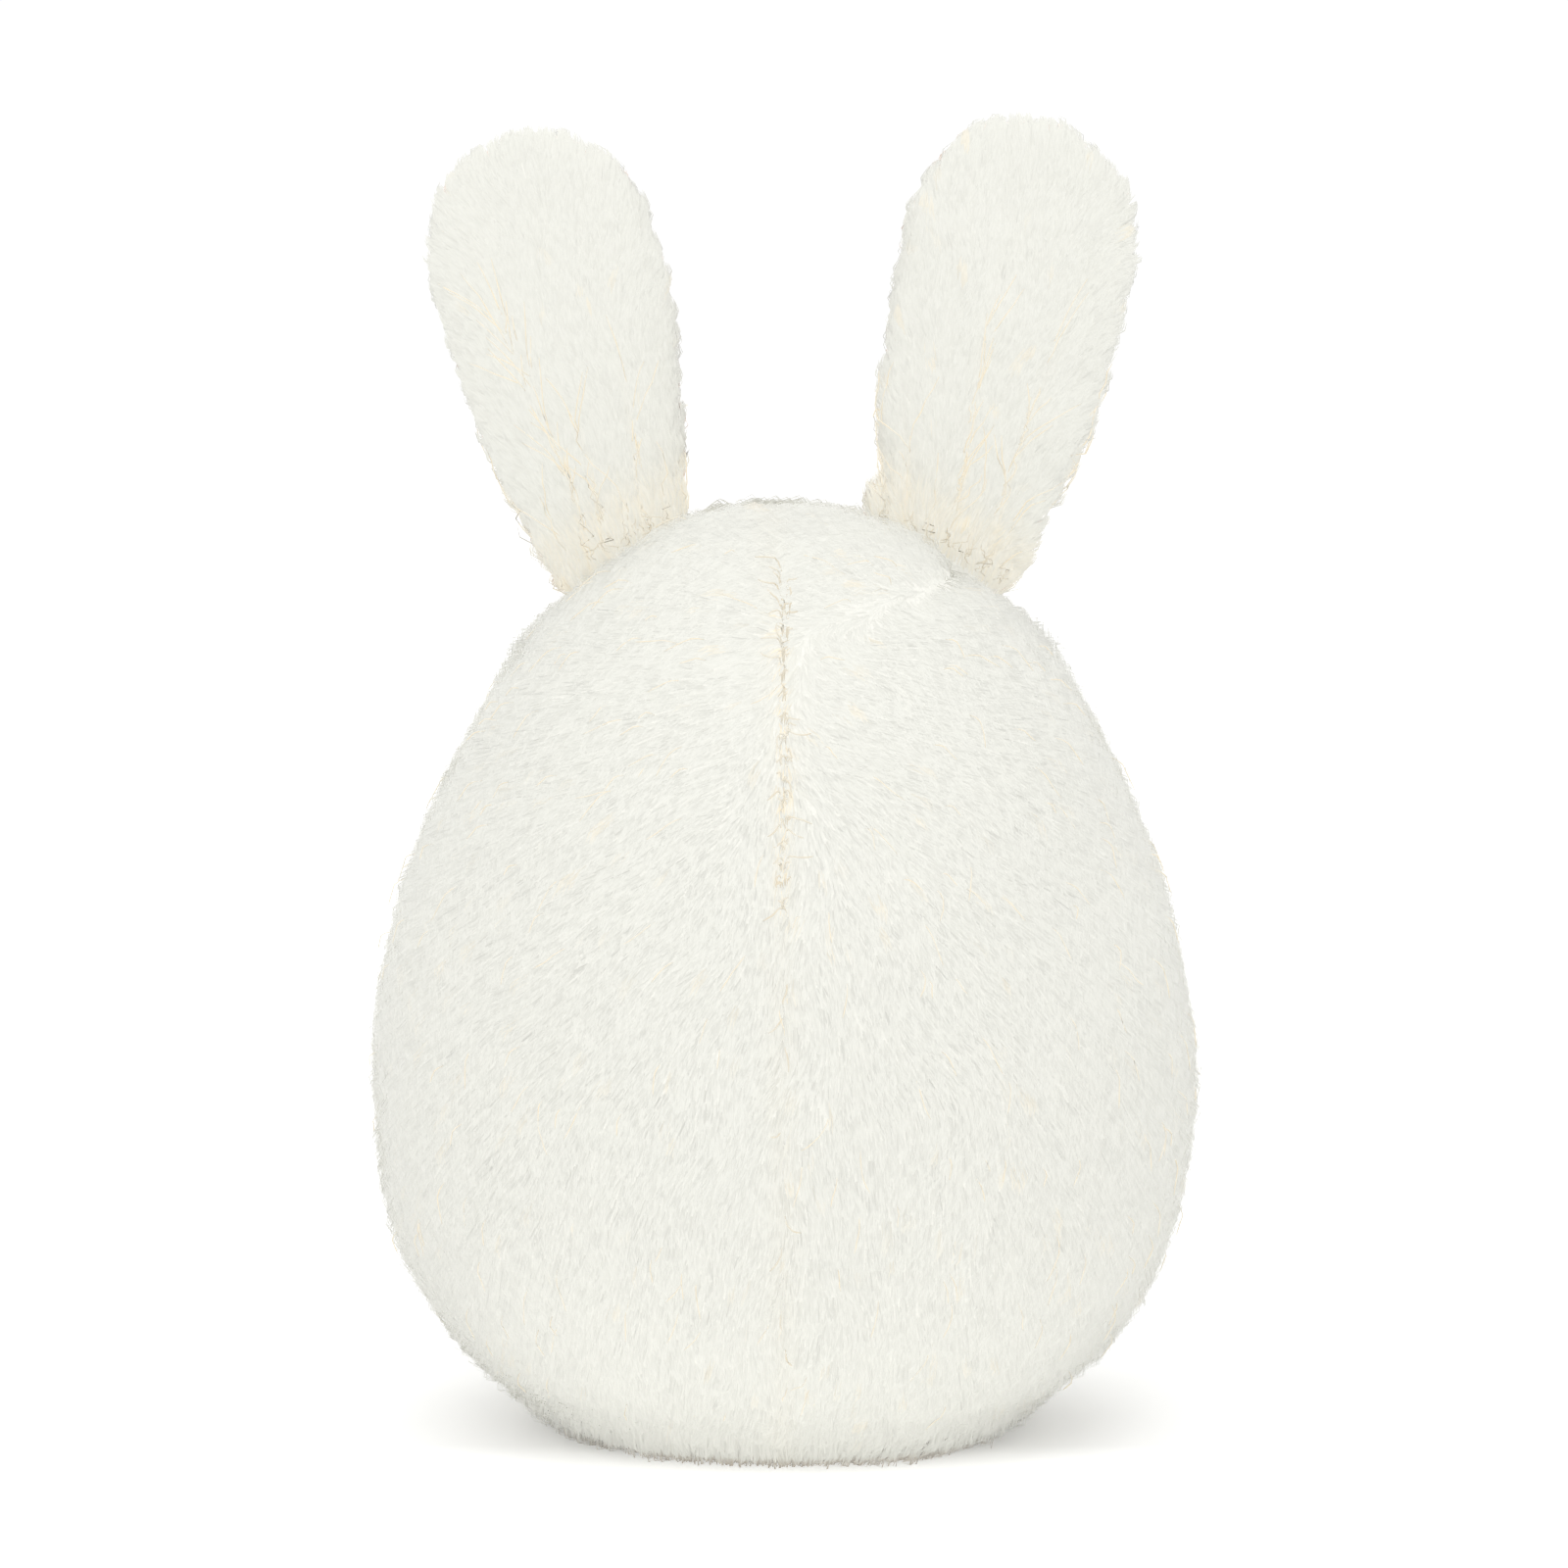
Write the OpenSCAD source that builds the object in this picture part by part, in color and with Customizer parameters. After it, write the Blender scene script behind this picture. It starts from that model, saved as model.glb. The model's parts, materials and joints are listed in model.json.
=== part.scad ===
// Plush bunny: an egg-shaped body on a weighted base, with two ears that spring back upright.
// Millimetres. The origin is on the table under the middle of the body, and +Z is up. The face
// looks along -Y, and the hand-closed seam runs down the back, at +Y. The bunny's left is at +X.

/* [Body] */
// Height of the body without the ears
body_h = 141; // [130:1:150]
// Width of the body at its widest, where it is round
body_w = 126; // [122:1:130]
// Height of the widest place above the table
belly_z = 55; // [52:1:58]
// Height of the seam that joins the base panel to the sides
base_seam_z = 9; // [8:1:11]
// Thickness of the plush fabric with its pile laid flat
plush_t = 2.5; // [2:0.1:3]

/* [Ears] */
// Length of an ear from its hinge line to its tip
ear_len = 63.6; // [58:0.1:68]
// Width of an ear at its widest
ear_w = 34.8; // [32:0.1:36]
// Thickness of a stuffed ear
ear_t = 13; // [12:0.5:14]
// Outward lean of an ear from upright
ear_lean = 12; // [8:1:16]
// Thickness of the ear fabric
ear_fabric_t = 1.6; // [1:0.1:2]
// Distance of the middle of an ear's hinge line from the body's centre plane
hinge_x = 25.4; // [25:0.1:26]
// Height of the middle of an ear's hinge line
hinge_z = 137.8; // [137.5:0.1:139]
// Slope of the hinge line down the shoulder
hinge_slope = 30; // [28:1:32]

/* [Face] */
// Distance of an eye from the centre plane
eye_x = 19; // [15:0.5:23]
// Height of the eyes
eye_z = 92; // [85:1:100]
// Diameter of an eye's dome
eye_d = 9; // [7:0.5:11]
// Height of the nose
nose_z = 84; // [78:1:90]

/* [Filling] */
// Radius of the pouch of pellets in the base
pouch_r = 31; // [26:1:32]
// Height of the pouch
pouch_h = 16; // [15:1:18]
// Diameter of one pellet
pellet_d = 6; // [5:0.5:6]

/* [Sewing] */
// Length from one stitch to the next
stitch_pitch = 2.5; // [2:0.1:4]
// Diameter of the thread
thread_d = 0.5; // [0.3:0.1:0.7]
// Height where the hand-closed part of the back seam starts
closing_from_z = 86; // [70:1:90]
// Height where the hand-closed part of the back seam ends
closing_to_z = 126; // [110:1:130]

/* [Hidden] */

LEFT = 1;
RIGHT = -1;
ROUND = 96;
FINE = 240;                   // for the ears' faces, which have large radii
FAR = 300;                    // larger than the whole toy
GAP = 0.3;                    // space between a filling and its cover

// The egg's outline is two superellipses that meet at the belly.
HIP_DROP = 64;                // the lower one would end this far under the belly
HIP_POWER = 2.3;
SHOULDER_POWER = 1.5;
CROWN_POWER = 2.3;
PROFILE_STEP = 6;             // degrees of the outline's parameter between two points

// The ear is a pillow of two curved panels in a paddle's outline, on a roll about its hinge line.
EAR_BELLY = 40;               // how far along the ear it is widest
EAR_NECK = 4.2;               // how much narrower each side is at the hinge line
EAR_TAIL = 12;                // how far the paddle would run on under the hinge line
EAR_TIP_POWER = 2.6;
EAR_OFFSET = 1.2;             // the paddle's middle passes this far outside the hinge line's middle
PILLOW_AT = 32;               // how far along the ear it is thickest
PILLOW_LONG_R = 116;          // radius that a panel is curved to along the ear
PILLOW_CROSS_R = 52;          // radius that it is curved to across the ear
ROOT_R = 2.6;
ROOT_SOLID = 1.5;             // height of the root that is sewn flat, with no filling

SHANK_R = 2;
SHANK_LEN = 11;
WASHER_R = 6;
WASHER_T = 1.2;
WASHER_AT = 3.1;              // depth of the washer's face under the skin
POUCH_WALL = 0.8;
THREAD_DEPTH = 1;             // depth of the machine seams' thread under the skin
STITCH_LEN = 0.75 * stitch_pitch;
LADDER_LEN = 3;               // length of the hand stitches and ear stitches across their seam

PLUSH = [0.95, 0.95, 0.92];
LINING = [0.93, 0.86, 0.82];
FIBRE = [0.98, 0.98, 0.98];
THREAD = [0.93, 0.88, 0.76];
POUCH = [0.85, 0.85, 0.80];
PELLET = [0.75, 0.80, 0.85];
BLACK = [0.05, 0.05, 0.06];
PINK = [0.86, 0.62, 0.60];
CLEAR = [0.88, 0.88, 0.85];

// ---- the egg ----

// Half width of the egg at a height, where every side is moved in by inset
function egg_r(z, inset = 0) = (body_w / 2 - inset) * (z >= belly_z
    ? pow(max(0, 1 - pow((z - belly_z) / (body_h - inset - belly_z), SHOULDER_POWER)), 1 / CROWN_POWER)
    : pow(max(0, 1 - pow((belly_z - z) / (HIP_DROP - inset), HIP_POWER)), 0.5));

function egg_outline(inset) = concat(
    [for (a = [-90 : PROFILE_STEP : -PROFILE_STEP])
        [(body_w / 2 - inset) * cos(a), belly_z - (HIP_DROP - inset) * pow(-sin(a), 2 / HIP_POWER)]],
    [for (a = [0 : PROFILE_STEP : 90])
        [(body_w / 2 - inset) * pow(cos(a), 2 / CROWN_POWER),
         belly_z + (body_h - inset - belly_z) * pow(sin(a), 2 / SHOULDER_POWER)]]);

module half_space_above(z) {
    translate([-FAR / 2, -FAR / 2, z]) cube(FAR);
}

// The egg with every side moved in by inset, cut flat where it would stand on the table
module egg(inset = 0) {
    intersection() {
        rotate_extrude($fn = ROUND) polygon(egg_outline(inset));
        half_space_above(inset);
    }
}

module skin() {
    difference() {
        egg();
        egg(plush_t);
    }
}

// The part of the skin above the base seam, in the box that starts at a corner
module skin_panel(corner, size) {
    intersection() {
        skin();
        translate(corner) cube(size);
    }
}

// ---- places on the skin ----

// How fast the egg's half width grows with height
function egg_slope(z, inset = 0) = let (step = 0.1)
    (egg_r(z + step, inset) - egg_r(z - step, inset)) / (2 * step);

function face_y(x, z) = -sqrt(pow(egg_r(z), 2) - x * x);

// Stands the children's +Z along a direction, at a place
module aim(place, direction) {
    translate(place)
        rotate([0, acos(direction.z / norm(direction)), atan2(direction.y, direction.x)])
            children();
}

module on_face(x, z) {
    aim([x, face_y(x, z), z], [x, face_y(x, z), -egg_r(z) * egg_slope(z)]) children();
}

module strand(from, to, d) {
    aim(from, to - from) cylinder(h = norm(to - from), d = d, $fn = 24);
}

// A stitch of a length with its middle at a place
module stitch(place, direction, length) {
    half = direction / norm(direction) * length / 2;
    strand(place - half, place + half, thread_d);
}

// Points along the egg's outline every pitch, from one height to a higher one.
// Each is [half width, height], moved in under the skin by depth.
function walk(z, z_end, pitch, depth, found = []) = z > z_end
    ? found
    : walk(z + pitch / norm([1, egg_slope(z, depth)]), z_end, pitch, depth,
           concat(found, [[egg_r(z, depth), z]]));

// ---- body ----

module front_panel() {
    color(PLUSH) difference() {
        skin_panel([-FAR / 2, -FAR, base_seam_z], [FAR, FAR, FAR]);
        for (side = [LEFT, RIGHT])
            on_face(side * eye_x, eye_z)
                translate([0, 0, -3 * plush_t]) cylinder(h = 6 * plush_t, r = SHANK_R + 0.2, $fn = ROUND);
    }
}

module back_left_panel() {
    color(PLUSH) skin_panel([0, 0, base_seam_z], [FAR, FAR, FAR]);
}

module back_right_panel() {
    color(PLUSH) skin_panel([-FAR, 0, base_seam_z], [FAR, FAR, FAR]);
}

module base_panel() {
    color(PLUSH) skin_panel([-FAR / 2, -FAR / 2, -1], [FAR, FAR, base_seam_z + 1]);
}

// The filling keeps clear of the pouch and of the eyes' shanks and washers.
module body_stuffing() {
    color(FIBRE) difference() {
        egg(plush_t + GAP);
        pouch_form(-GAP);
        translate([0, 0, plush_t]) cylinder(h = pouch_h / 2, r = pouch_r + GAP, $fn = ROUND);
        for (side = [LEFT, RIGHT])
            on_face(side * eye_x, eye_z)
                translate([0, 0, -SHANK_LEN - 1]) cylinder(h = SHANK_LEN, r = WASHER_R + GAP, $fn = ROUND);
    }
}

// ---- weighted base ----

function pouch_middle() = plush_t + GAP + pouch_h / 2;

// A pillow-shaped disc with every side moved in by inset
module pouch_form(inset) {
    translate([0, 0, pouch_middle()]) rotate_extrude($fn = ROUND) polygon(
        [for (a = [-90 : 10 : 90])
            [(pouch_r - inset) * pow(max(0, cos(a)), 0.5), (pouch_h / 2 - inset) * sin(a)]]);
}

module bean_pouch() {
    color(POUCH) difference() {
        pouch_form(0);
        pouch_form(POUCH_WALL);
    }
}

// Two layers of pellets, the upper ones in the hollows between three lower ones
module bean_pellets() {
    pitch = pellet_d + 0.2;
    rise = pitch * sqrt(2 / 3) / 2;
    reach = pouch_r - POUCH_WALL - pellet_d / 2 - GAP;
    height = pouch_h / 2 - POUCH_WALL - pellet_d / 2 - GAP;
    rows = ceil(reach / pitch) + 1;
    room = reach * pow(1 - pow(rise / height, 2), 0.25);
    color(PELLET)
        for (layer = [-1, 1], i = [-rows : rows], j = [-rows : rows]) {
            x = (i + j / 2 + (layer + 1) / 4) * pitch;
            y = (j * sqrt(3) / 2 + (layer + 1) / 4 / sqrt(3)) * pitch;
            if (norm([x, y]) < room)
                translate([x, y, pouch_middle() + layer * rise]) sphere(d = pellet_d, $fn = 48);
        }
}

// ---- seams ----

// Ladder stitches that cross the back seam where it was closed by hand
module closing_stitches() {
    color(THREAD)
        for (p = walk(closing_from_z, closing_to_z, stitch_pitch, thread_d))
            stitch([0, p.x, p.y], [1, 0, 0], LADDER_LEN);
}

// Stitches along the outline in the plane at an angle round the body
module seam_run(from_z, to_z, angle) {
    path = walk(from_z, to_z, stitch_pitch, THREAD_DEPTH);
    rotate([0, 0, angle])
        for (i = [0 : len(path) - 2])
            stitch([path[i].x, 0, path[i].y],
                   [path[i + 1].x - path[i].x, 0, path[i + 1].y - path[i].y], STITCH_LEN);
}

module back_seam_thread() {
    color(THREAD) {
        seam_run(base_seam_z + stitch_pitch, closing_from_z - stitch_pitch, 90);
        seam_run(closing_to_z + stitch_pitch, body_h - 3, 90);
    }
}

function root_low_z() = hinge_z - sin(hinge_slope) * ear_w / 3 - 4;

module side_seam_thread() {
    color(THREAD)
        for (angle = [0, 180])
            seam_run(base_seam_z + stitch_pitch, root_low_z(), angle);
}

// A single thread all the way round the base
module base_seam_thread() {
    color(THREAD)
        rotate_extrude($fn = ROUND)
            translate([egg_r(base_seam_z, THREAD_DEPTH), base_seam_z]) circle(d = thread_d, $fn = 24);
}

// ---- face ----

// A domed eye with a ribbed shank that goes through the fabric
module eye(side) {
    dome_r = eye_d / 2;
    dome_h = 0.75 * dome_r;
    rib = 1;
    color(BLACK) on_face(side * eye_x, eye_z)
        rotate_extrude($fn = ROUND) polygon(concat(
            [[0, -SHANK_LEN], [SHANK_R - 0.5, -SHANK_LEN]],
            [for (i = [0 : 4]) each [[SHANK_R, -SHANK_LEN + rib * (2 * i + 0.7)],
                                     [SHANK_R - 0.3, -SHANK_LEN + rib * (2 * i + 1.7)]]],
            [[SHANK_R, 0.1], [dome_r, 0.1], [dome_r, 0.6]],
            [for (a = [10 : 10 : 90]) [dome_r * cos(a), 0.6 + (dome_h - 0.6) * sin(a)]]));
}

module eye_washer(side) {
    color(CLEAR) on_face(side * eye_x, eye_z)
        translate([0, 0, -WASHER_AT - WASHER_T]) difference() {
            cylinder(h = WASHER_T, r = WASHER_R, $fn = ROUND);
            translate([0, 0, -1]) cylinder(h = WASHER_T + 2, r = SHANK_R, $fn = ROUND);
        }
}

module nose() {
    color(PINK) on_face(0, nose_z) rotate([0, 0, 90]) scale([3.8, 2.6, 1.4]) sphere(1, $fn = 48);
}

// A short line down from the nose, and a curve to each side of it
module mouth_stitch() {
    thread = 1;
    drop = 6;
    function at(x, z) = [x, face_y(x, z), z];
    color(PINK) {
        strand(at(0, nose_z - 2), at(0, nose_z - drop), thread);
        for (side = [LEFT, RIGHT])
            strand(at(side * 0.7, nose_z - drop - 0.3), at(side * 4.5, nose_z - drop - 1.6), thread);
    }
}

// ---- ears ----

// Half width of the ear at a distance along it, moved in by inset
function ear_half(u) = u < EAR_BELLY
    ? ear_w / 2 - EAR_NECK * pow(1 - u / EAR_BELLY, 2)
    : ear_w / 2 * pow(max(0, 1 - pow((u - EAR_BELLY) / (ear_len - EAR_BELLY), EAR_TIP_POWER)), 0.5);

function ear_outline(inset) = let (
        neck = [for (u = [-EAR_TAIL : 4 : EAR_BELLY]) [ear_half(u) - inset, u]],
        tip = [for (a = [12 : 12 : 84])
            [(ear_w / 2 - inset) * cos(a),
             EAR_BELLY + (ear_len - inset - EAR_BELLY) * pow(sin(a), 2 / EAR_TIP_POWER)]],
        half = concat(neck, tip))
    concat(half, [[0, ear_len - inset]],
           [for (i = [len(half) - 1 : -1 : 0]) [-half[i].x, half[i].y]]);

// Children are drawn at the hinge line's middle, with X across the ear and Z along it.
module ear_frame(side) {
    mirror([side == LEFT ? 0 : 1, 0, 0])
        translate([hinge_x, 0, hinge_z]) rotate([0, ear_lean, 0]) children();
}

// Children are drawn in the ear's frame, with X along the hinge line.
module hinge_frame() {
    rotate([0, hinge_slope - ear_lean, 0]) children();
}

module paddle(inset) {
    translate([EAR_OFFSET, 0, 0]) rotate([90, 0, 0])
        linear_extrude(height = 4 * ear_t, center = true) polygon(ear_outline(inset));
}

// The space between the ear's two curved faces
module pillow(inset) {
    away = PILLOW_LONG_R - ear_t / 2;
    intersection() {
        pillow_face(away, inset);
        pillow_face(-away, inset);
    }
}

module pillow_face(away, inset) {
    translate([EAR_OFFSET, away, PILLOW_AT]) rotate([0, 90, 0])
        rotate_extrude($fn = FINE)
            translate([PILLOW_LONG_R - PILLOW_CROSS_R, 0]) circle(r = PILLOW_CROSS_R - inset, $fn = FINE);
}

module above_hinge(height) {
    hinge_frame() half_space_above(height);
}

module ear_form() {
    intersection() {
        paddle(0);
        union() {
            intersection() {
                pillow(0);
                above_hinge(0);
            }
            hinge_frame() rotate([0, 90, 0])
                cylinder(h = 2 * ear_w, r = ROOT_R, center = true, $fn = ROUND);
        }
    }
}

// The hollow inside the ear's fabric, moved in by a further gap
module ear_hollow(gap) {
    intersection() {
        paddle(ear_fabric_t + gap);
        pillow(ear_fabric_t + gap);
        above_hinge(ROOT_SOLID + gap);
    }
}

module ear_panel(side, face) {
    ear_frame(side) difference() {
        intersection() {
            ear_form();
            translate([-FAR / 2, face > 0 ? 0 : -FAR, -FAR / 2]) cube(FAR);
        }
        ear_hollow(0);
    }
}

module ear_stuffing(side) {
    color(FIBRE) ear_frame(side) ear_hollow(0.2);
}

// Points round the ear's edge, inside the fabric, from its outer root over the tip to its inner root
function ear_edge(in) = let (
        up = [for (u = [3 : stitch_pitch : EAR_BELLY]) [ear_half(u) - in, u]],
        over = [for (a = [7 : 6 : 90]) [(ear_w / 2 - in) * cos(a),
            EAR_BELLY + (ear_len - in - EAR_BELLY) * pow(sin(a), 2 / EAR_TIP_POWER)]])
    concat(up, over);

module ear_edge_thread(side) {
    edge = ear_edge(ear_fabric_t / 2);
    color(THREAD) ear_frame(side) translate([EAR_OFFSET, 0, 0])
        for (m = [-1, 1], i = [(m < 0 ? 3 : 0) : len(edge) - 2])
            stitch([m * edge[i].x, 0, edge[i].y],
                   [m * (edge[i + 1].x - edge[i].x), 0, edge[i + 1].y - edge[i].y], STITCH_LEN);
}

// Stitches in the head that hold the ear's hem in the seam
module ear_root_thread(side) {
    inner_end = hinge_x - ear_half(0) * cos(hinge_slope);
    color(THREAD)
        for (p = walk(root_low_z() + stitch_pitch, body_h - plush_t, stitch_pitch, THREAD_DEPTH))
            if (p.x > inner_end)
                stitch([side * p.x, 0, p.y], [0, 1, 0], LADDER_LEN);
}

module ear_left_back_panel() { color(PLUSH) ear_panel(LEFT, 1); }
module ear_left_front_panel() { color(LINING) ear_panel(LEFT, -1); }
module ear_right_back_panel() { color(PLUSH) ear_panel(RIGHT, 1); }
module ear_right_front_panel() { color(LINING) ear_panel(RIGHT, -1); }

front_panel();
back_left_panel();
back_right_panel();
base_panel();
body_stuffing();
bean_pouch();
bean_pellets();
closing_stitches();
back_seam_thread();
side_seam_thread();
base_seam_thread();
eye(LEFT);  // eye_left
eye(RIGHT);  // eye_right
eye_washer(LEFT);  // eye_washer_left
eye_washer(RIGHT);  // eye_washer_right
nose();
mouth_stitch();
ear_left_back_panel();
ear_left_front_panel();
ear_stuffing(LEFT);  // ear_left_stuffing
ear_edge_thread(LEFT);  // ear_left_edge_thread
ear_root_thread(LEFT);  // ear_left_root_thread
ear_right_back_panel();
ear_right_front_panel();
ear_stuffing(RIGHT);  // ear_right_stuffing
ear_edge_thread(RIGHT);  // ear_right_edge_thread
ear_root_thread(RIGHT);  // ear_right_root_thread
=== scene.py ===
"""Builds the looks of a plush bunny round its fixed frame: padded plush panels with a laid pile, two floppy
ears, hand stitching, a face, the filling inside, and a soft white studio. Metres, +Z up, the face along
-Y."""

import json
import math

import bmesh
import bpy
import numpy as np
from bpy.props import FloatProperty, FloatVectorProperty, IntProperty, PointerProperty
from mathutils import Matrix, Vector
from mathutils.bvhtree import BVHTree
from mathutils.kdtree import KDTree


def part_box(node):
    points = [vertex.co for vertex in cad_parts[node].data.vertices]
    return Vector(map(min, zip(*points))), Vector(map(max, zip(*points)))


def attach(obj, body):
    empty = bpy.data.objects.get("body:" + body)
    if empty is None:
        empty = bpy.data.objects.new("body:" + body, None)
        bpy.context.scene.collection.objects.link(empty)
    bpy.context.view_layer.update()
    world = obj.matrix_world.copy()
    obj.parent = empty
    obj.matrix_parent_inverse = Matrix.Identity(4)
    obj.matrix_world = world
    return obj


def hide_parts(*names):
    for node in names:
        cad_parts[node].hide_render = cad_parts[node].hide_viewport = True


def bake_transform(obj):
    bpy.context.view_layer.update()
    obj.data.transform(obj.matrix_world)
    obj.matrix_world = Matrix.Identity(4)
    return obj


bl_info = {
    "name": "Plush bunny maker",
    "version": (1, 0, 0),
    "blender": (4, 5, 0),
    "location": "View3D > Sidebar > Plush bunny",
    "description": "Sews, stuffs and grooms a white plush bunny on its frame",
    "category": "Add Mesh",
}

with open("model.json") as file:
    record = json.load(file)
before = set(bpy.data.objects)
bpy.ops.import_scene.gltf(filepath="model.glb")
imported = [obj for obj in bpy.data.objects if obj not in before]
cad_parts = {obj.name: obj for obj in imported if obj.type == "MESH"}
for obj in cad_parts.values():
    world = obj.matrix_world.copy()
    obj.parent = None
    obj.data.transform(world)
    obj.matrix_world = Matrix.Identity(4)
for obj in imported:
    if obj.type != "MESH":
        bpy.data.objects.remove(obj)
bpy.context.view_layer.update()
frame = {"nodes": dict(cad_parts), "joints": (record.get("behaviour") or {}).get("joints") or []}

MM = 0.001
LEFT, RIGHT = 1, -1
SIDES = {"left": LEFT, "right": RIGHT}
TORSO = "torso"
NODES = frame["nodes"]
JOINTS = {j["name"]: j for j in frame["joints"]}

FRONT_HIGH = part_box("front_panel")[1]
BASE_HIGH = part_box("base_panel")[1]
BODY_R = FRONT_HIGH.x
CROWN_Z = FRONT_HIGH.z
SEAM_Z = BASE_HIGH.z
PITCH = 2.5 * MM


# ---- what a maker would change ----


class BodySizes(bpy.types.PropertyGroup):
    belly_z: FloatProperty(name="Belly height", description="Height of the widest place",
                           default=55 * MM, unit="LENGTH")
    hip_drop: FloatProperty(name="Hip drop", description="Depth of the lower half's outline under the belly",
                            default=64 * MM, unit="LENGTH")
    hip_power: FloatProperty(name="Hip fullness", description="How full the lower outline is", default=2.3)
    shoulder_power: FloatProperty(name="Shoulder fullness", description="How the outline leaves the crown",
                                  default=1.5)
    crown_power: FloatProperty(name="Crown fullness", description="How full the crown is", default=2.3)
    pile_room: FloatProperty(name="Pile room", description="Distance from the fabric to the outline",
                             default=2.3 * MM, unit="LENGTH")
    pile_lift: FloatProperty(name="Pile lift", description="How far the pile's bends stand off the fabric",
                             default=3.2 * MM, unit="LENGTH")
    fabric_t: FloatProperty(name="Fabric thickness", description="Thickness of the knitted backing",
                            default=0.8 * MM, unit="LENGTH")
    cell: FloatProperty(name="Cell", description="Size of the simulated fabric's cells",
                        default=4.5 * MM, unit="LENGTH")
    puff: FloatProperty(name="Puff", description="Pressure of the filling on the fabric", default=4.0)
    puff_cap: FloatProperty(name="Puff limit", description="Furthest that the filling may push the fabric",
                            default=2.2 * MM, unit="LENGTH")
    seam_pull: FloatProperty(name="Seam pull", description="Depth that a seam pulls the fabric in",
                             default=0.8 * MM, unit="LENGTH")
    seam_reach: FloatProperty(name="Seam reach", description="Half width of the valley along a seam",
                              default=2.6 * MM, unit="LENGTH")


class EarSizes(bpy.types.PropertyGroup):
    lean: FloatProperty(name="Lean", description="Outward lean of an ear", default=math.radians(12),
                        subtype="ANGLE")
    length: FloatProperty(name="Length", description="From the hinge line to the tip",
                          default=60.4 * MM, unit="LENGTH")
    width: FloatProperty(name="Width", description="Width over the pile at the widest place",
                         default=35.0 * MM, unit="LENGTH")
    neck: FloatProperty(name="Neck", description="How much narrower each side is at the root",
                        default=4.2 * MM, unit="LENGTH")
    belly: FloatProperty(name="Belly", description="Share of the length where it is widest", default=0.64)
    thickness: FloatProperty(name="Thickness", description="Thickness over the pile where it is fullest",
                             default=13.5 * MM, unit="LENGTH")
    root_thickness: FloatProperty(name="Root thickness", description="Thickness where it meets the head",
                                  default=7.0 * MM, unit="LENGTH")
    sunk: FloatProperty(name="Sunk", description="How far the ear's fabric runs into the head's seam",
                        default=12.0 * MM, unit="LENGTH")
    pile_room: FloatProperty(name="Pile room", description="Distance from the fabric to the outline",
                             default=1.5 * MM, unit="LENGTH")
    pile_lift: FloatProperty(name="Pile lift", description="How far the pile's bends stand off the fabric",
                             default=2.4 * MM, unit="LENGTH")
    puff_cap: FloatProperty(name="Puff limit", description="Furthest that the wadding may push the fabric",
                            default=1.2 * MM, unit="LENGTH")
    bend_from: FloatProperty(name="Bend from", description="Where the fold at the root starts, along the ear",
                             default=-1.5 * MM, unit="LENGTH")
    bend_to: FloatProperty(name="Bend to", description="Where the fold at the root ends, along the ear",
                           default=8.0 * MM, unit="LENGTH")


class PileSizes(bpy.types.PropertyGroup):
    length: FloatProperty(name="Length", description="Length of a tuft of pile on the body",
                          default=4.5 * MM, unit="LENGTH")
    width: FloatProperty(name="Width", description="Width of a tuft of pile at its root",
                         default=0.22 * MM, unit="LENGTH")
    tufts: IntProperty(name="Tufts", description="Tufts on each body panel's pile", default=60000)
    ear_tufts: IntProperty(name="Ear tufts", description="Tufts on each face of an ear", default=26000)
    clump: FloatProperty(name="Clump", description="Distance between two clumps of pile",
                         default=1.3 * MM, unit="LENGTH")


class Colours(bpy.types.PropertyGroup):
    pile: FloatVectorProperty(name="Pile", description="Clean pile", subtype="COLOR", size=3,
                              default=(0.694, 0.693, 0.642))
    # Painted shade: the pile's root colour, darker than its tips, stands in for the shade down inside the
    # pile.
    pile_root_shade: FloatVectorProperty(name="Pile root shade", description="Pile down at the fabric", subtype="COLOR",
                                   size=3, default=(0.665, 0.663, 0.610))
    cream: FloatVectorProperty(name="Cream", description="Pile tinted at seams and in streaks",
                               subtype="COLOR", size=3, default=(0.80, 0.71, 0.54))
    # Painted contact shadow: the pile just over the table turns this dark taupe, as the pile casts no shadow
    # of its own.
    contact_shadow: FloatVectorProperty(name="Contact shadow", description="Pile where the toy rubs on the table",
                                subtype="COLOR", size=3, default=(0.47, 0.40, 0.32))
    backing: FloatVectorProperty(name="Backing", description="Knitted backing of the plush",
                                 subtype="COLOR", size=3, default=(0.76, 0.755, 0.70))
    lining: FloatVectorProperty(name="Lining", description="Velour inside the ears", subtype="COLOR", size=3,
                                default=(0.88, 0.78, 0.72))
    thread: FloatVectorProperty(name="Thread", description="Sewing thread", subtype="COLOR", size=3,
                                default=(0.80, 0.73, 0.59))
    pink: FloatVectorProperty(name="Pink", description="Embroidery of the nose and mouth", subtype="COLOR",
                              size=3, default=(0.72, 0.40, 0.38))
    eye: FloatVectorProperty(name="Eye", description="Polished eyes", subtype="COLOR", size=3,
                             default=(0.010, 0.008, 0.008))


GROUPS = {"bunny_body": BodySizes, "bunny_ear": EarSizes, "bunny_pile": PileSizes, "bunny_colour": Colours}


def body():
    return bpy.context.scene.bunny_body


def ear():
    return bpy.context.scene.bunny_ear


def pile():
    return bpy.context.scene.bunny_pile


def colours():
    return bpy.context.scene.bunny_colour


# ---- meshes ----


def unit(v):
    """Rows of v at length one."""
    return v / np.maximum(np.linalg.norm(v, axis=1, keepdims=True), 1e-12)


def dot(a, b):
    return np.sum(a * b, axis=1, keepdims=True)


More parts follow.
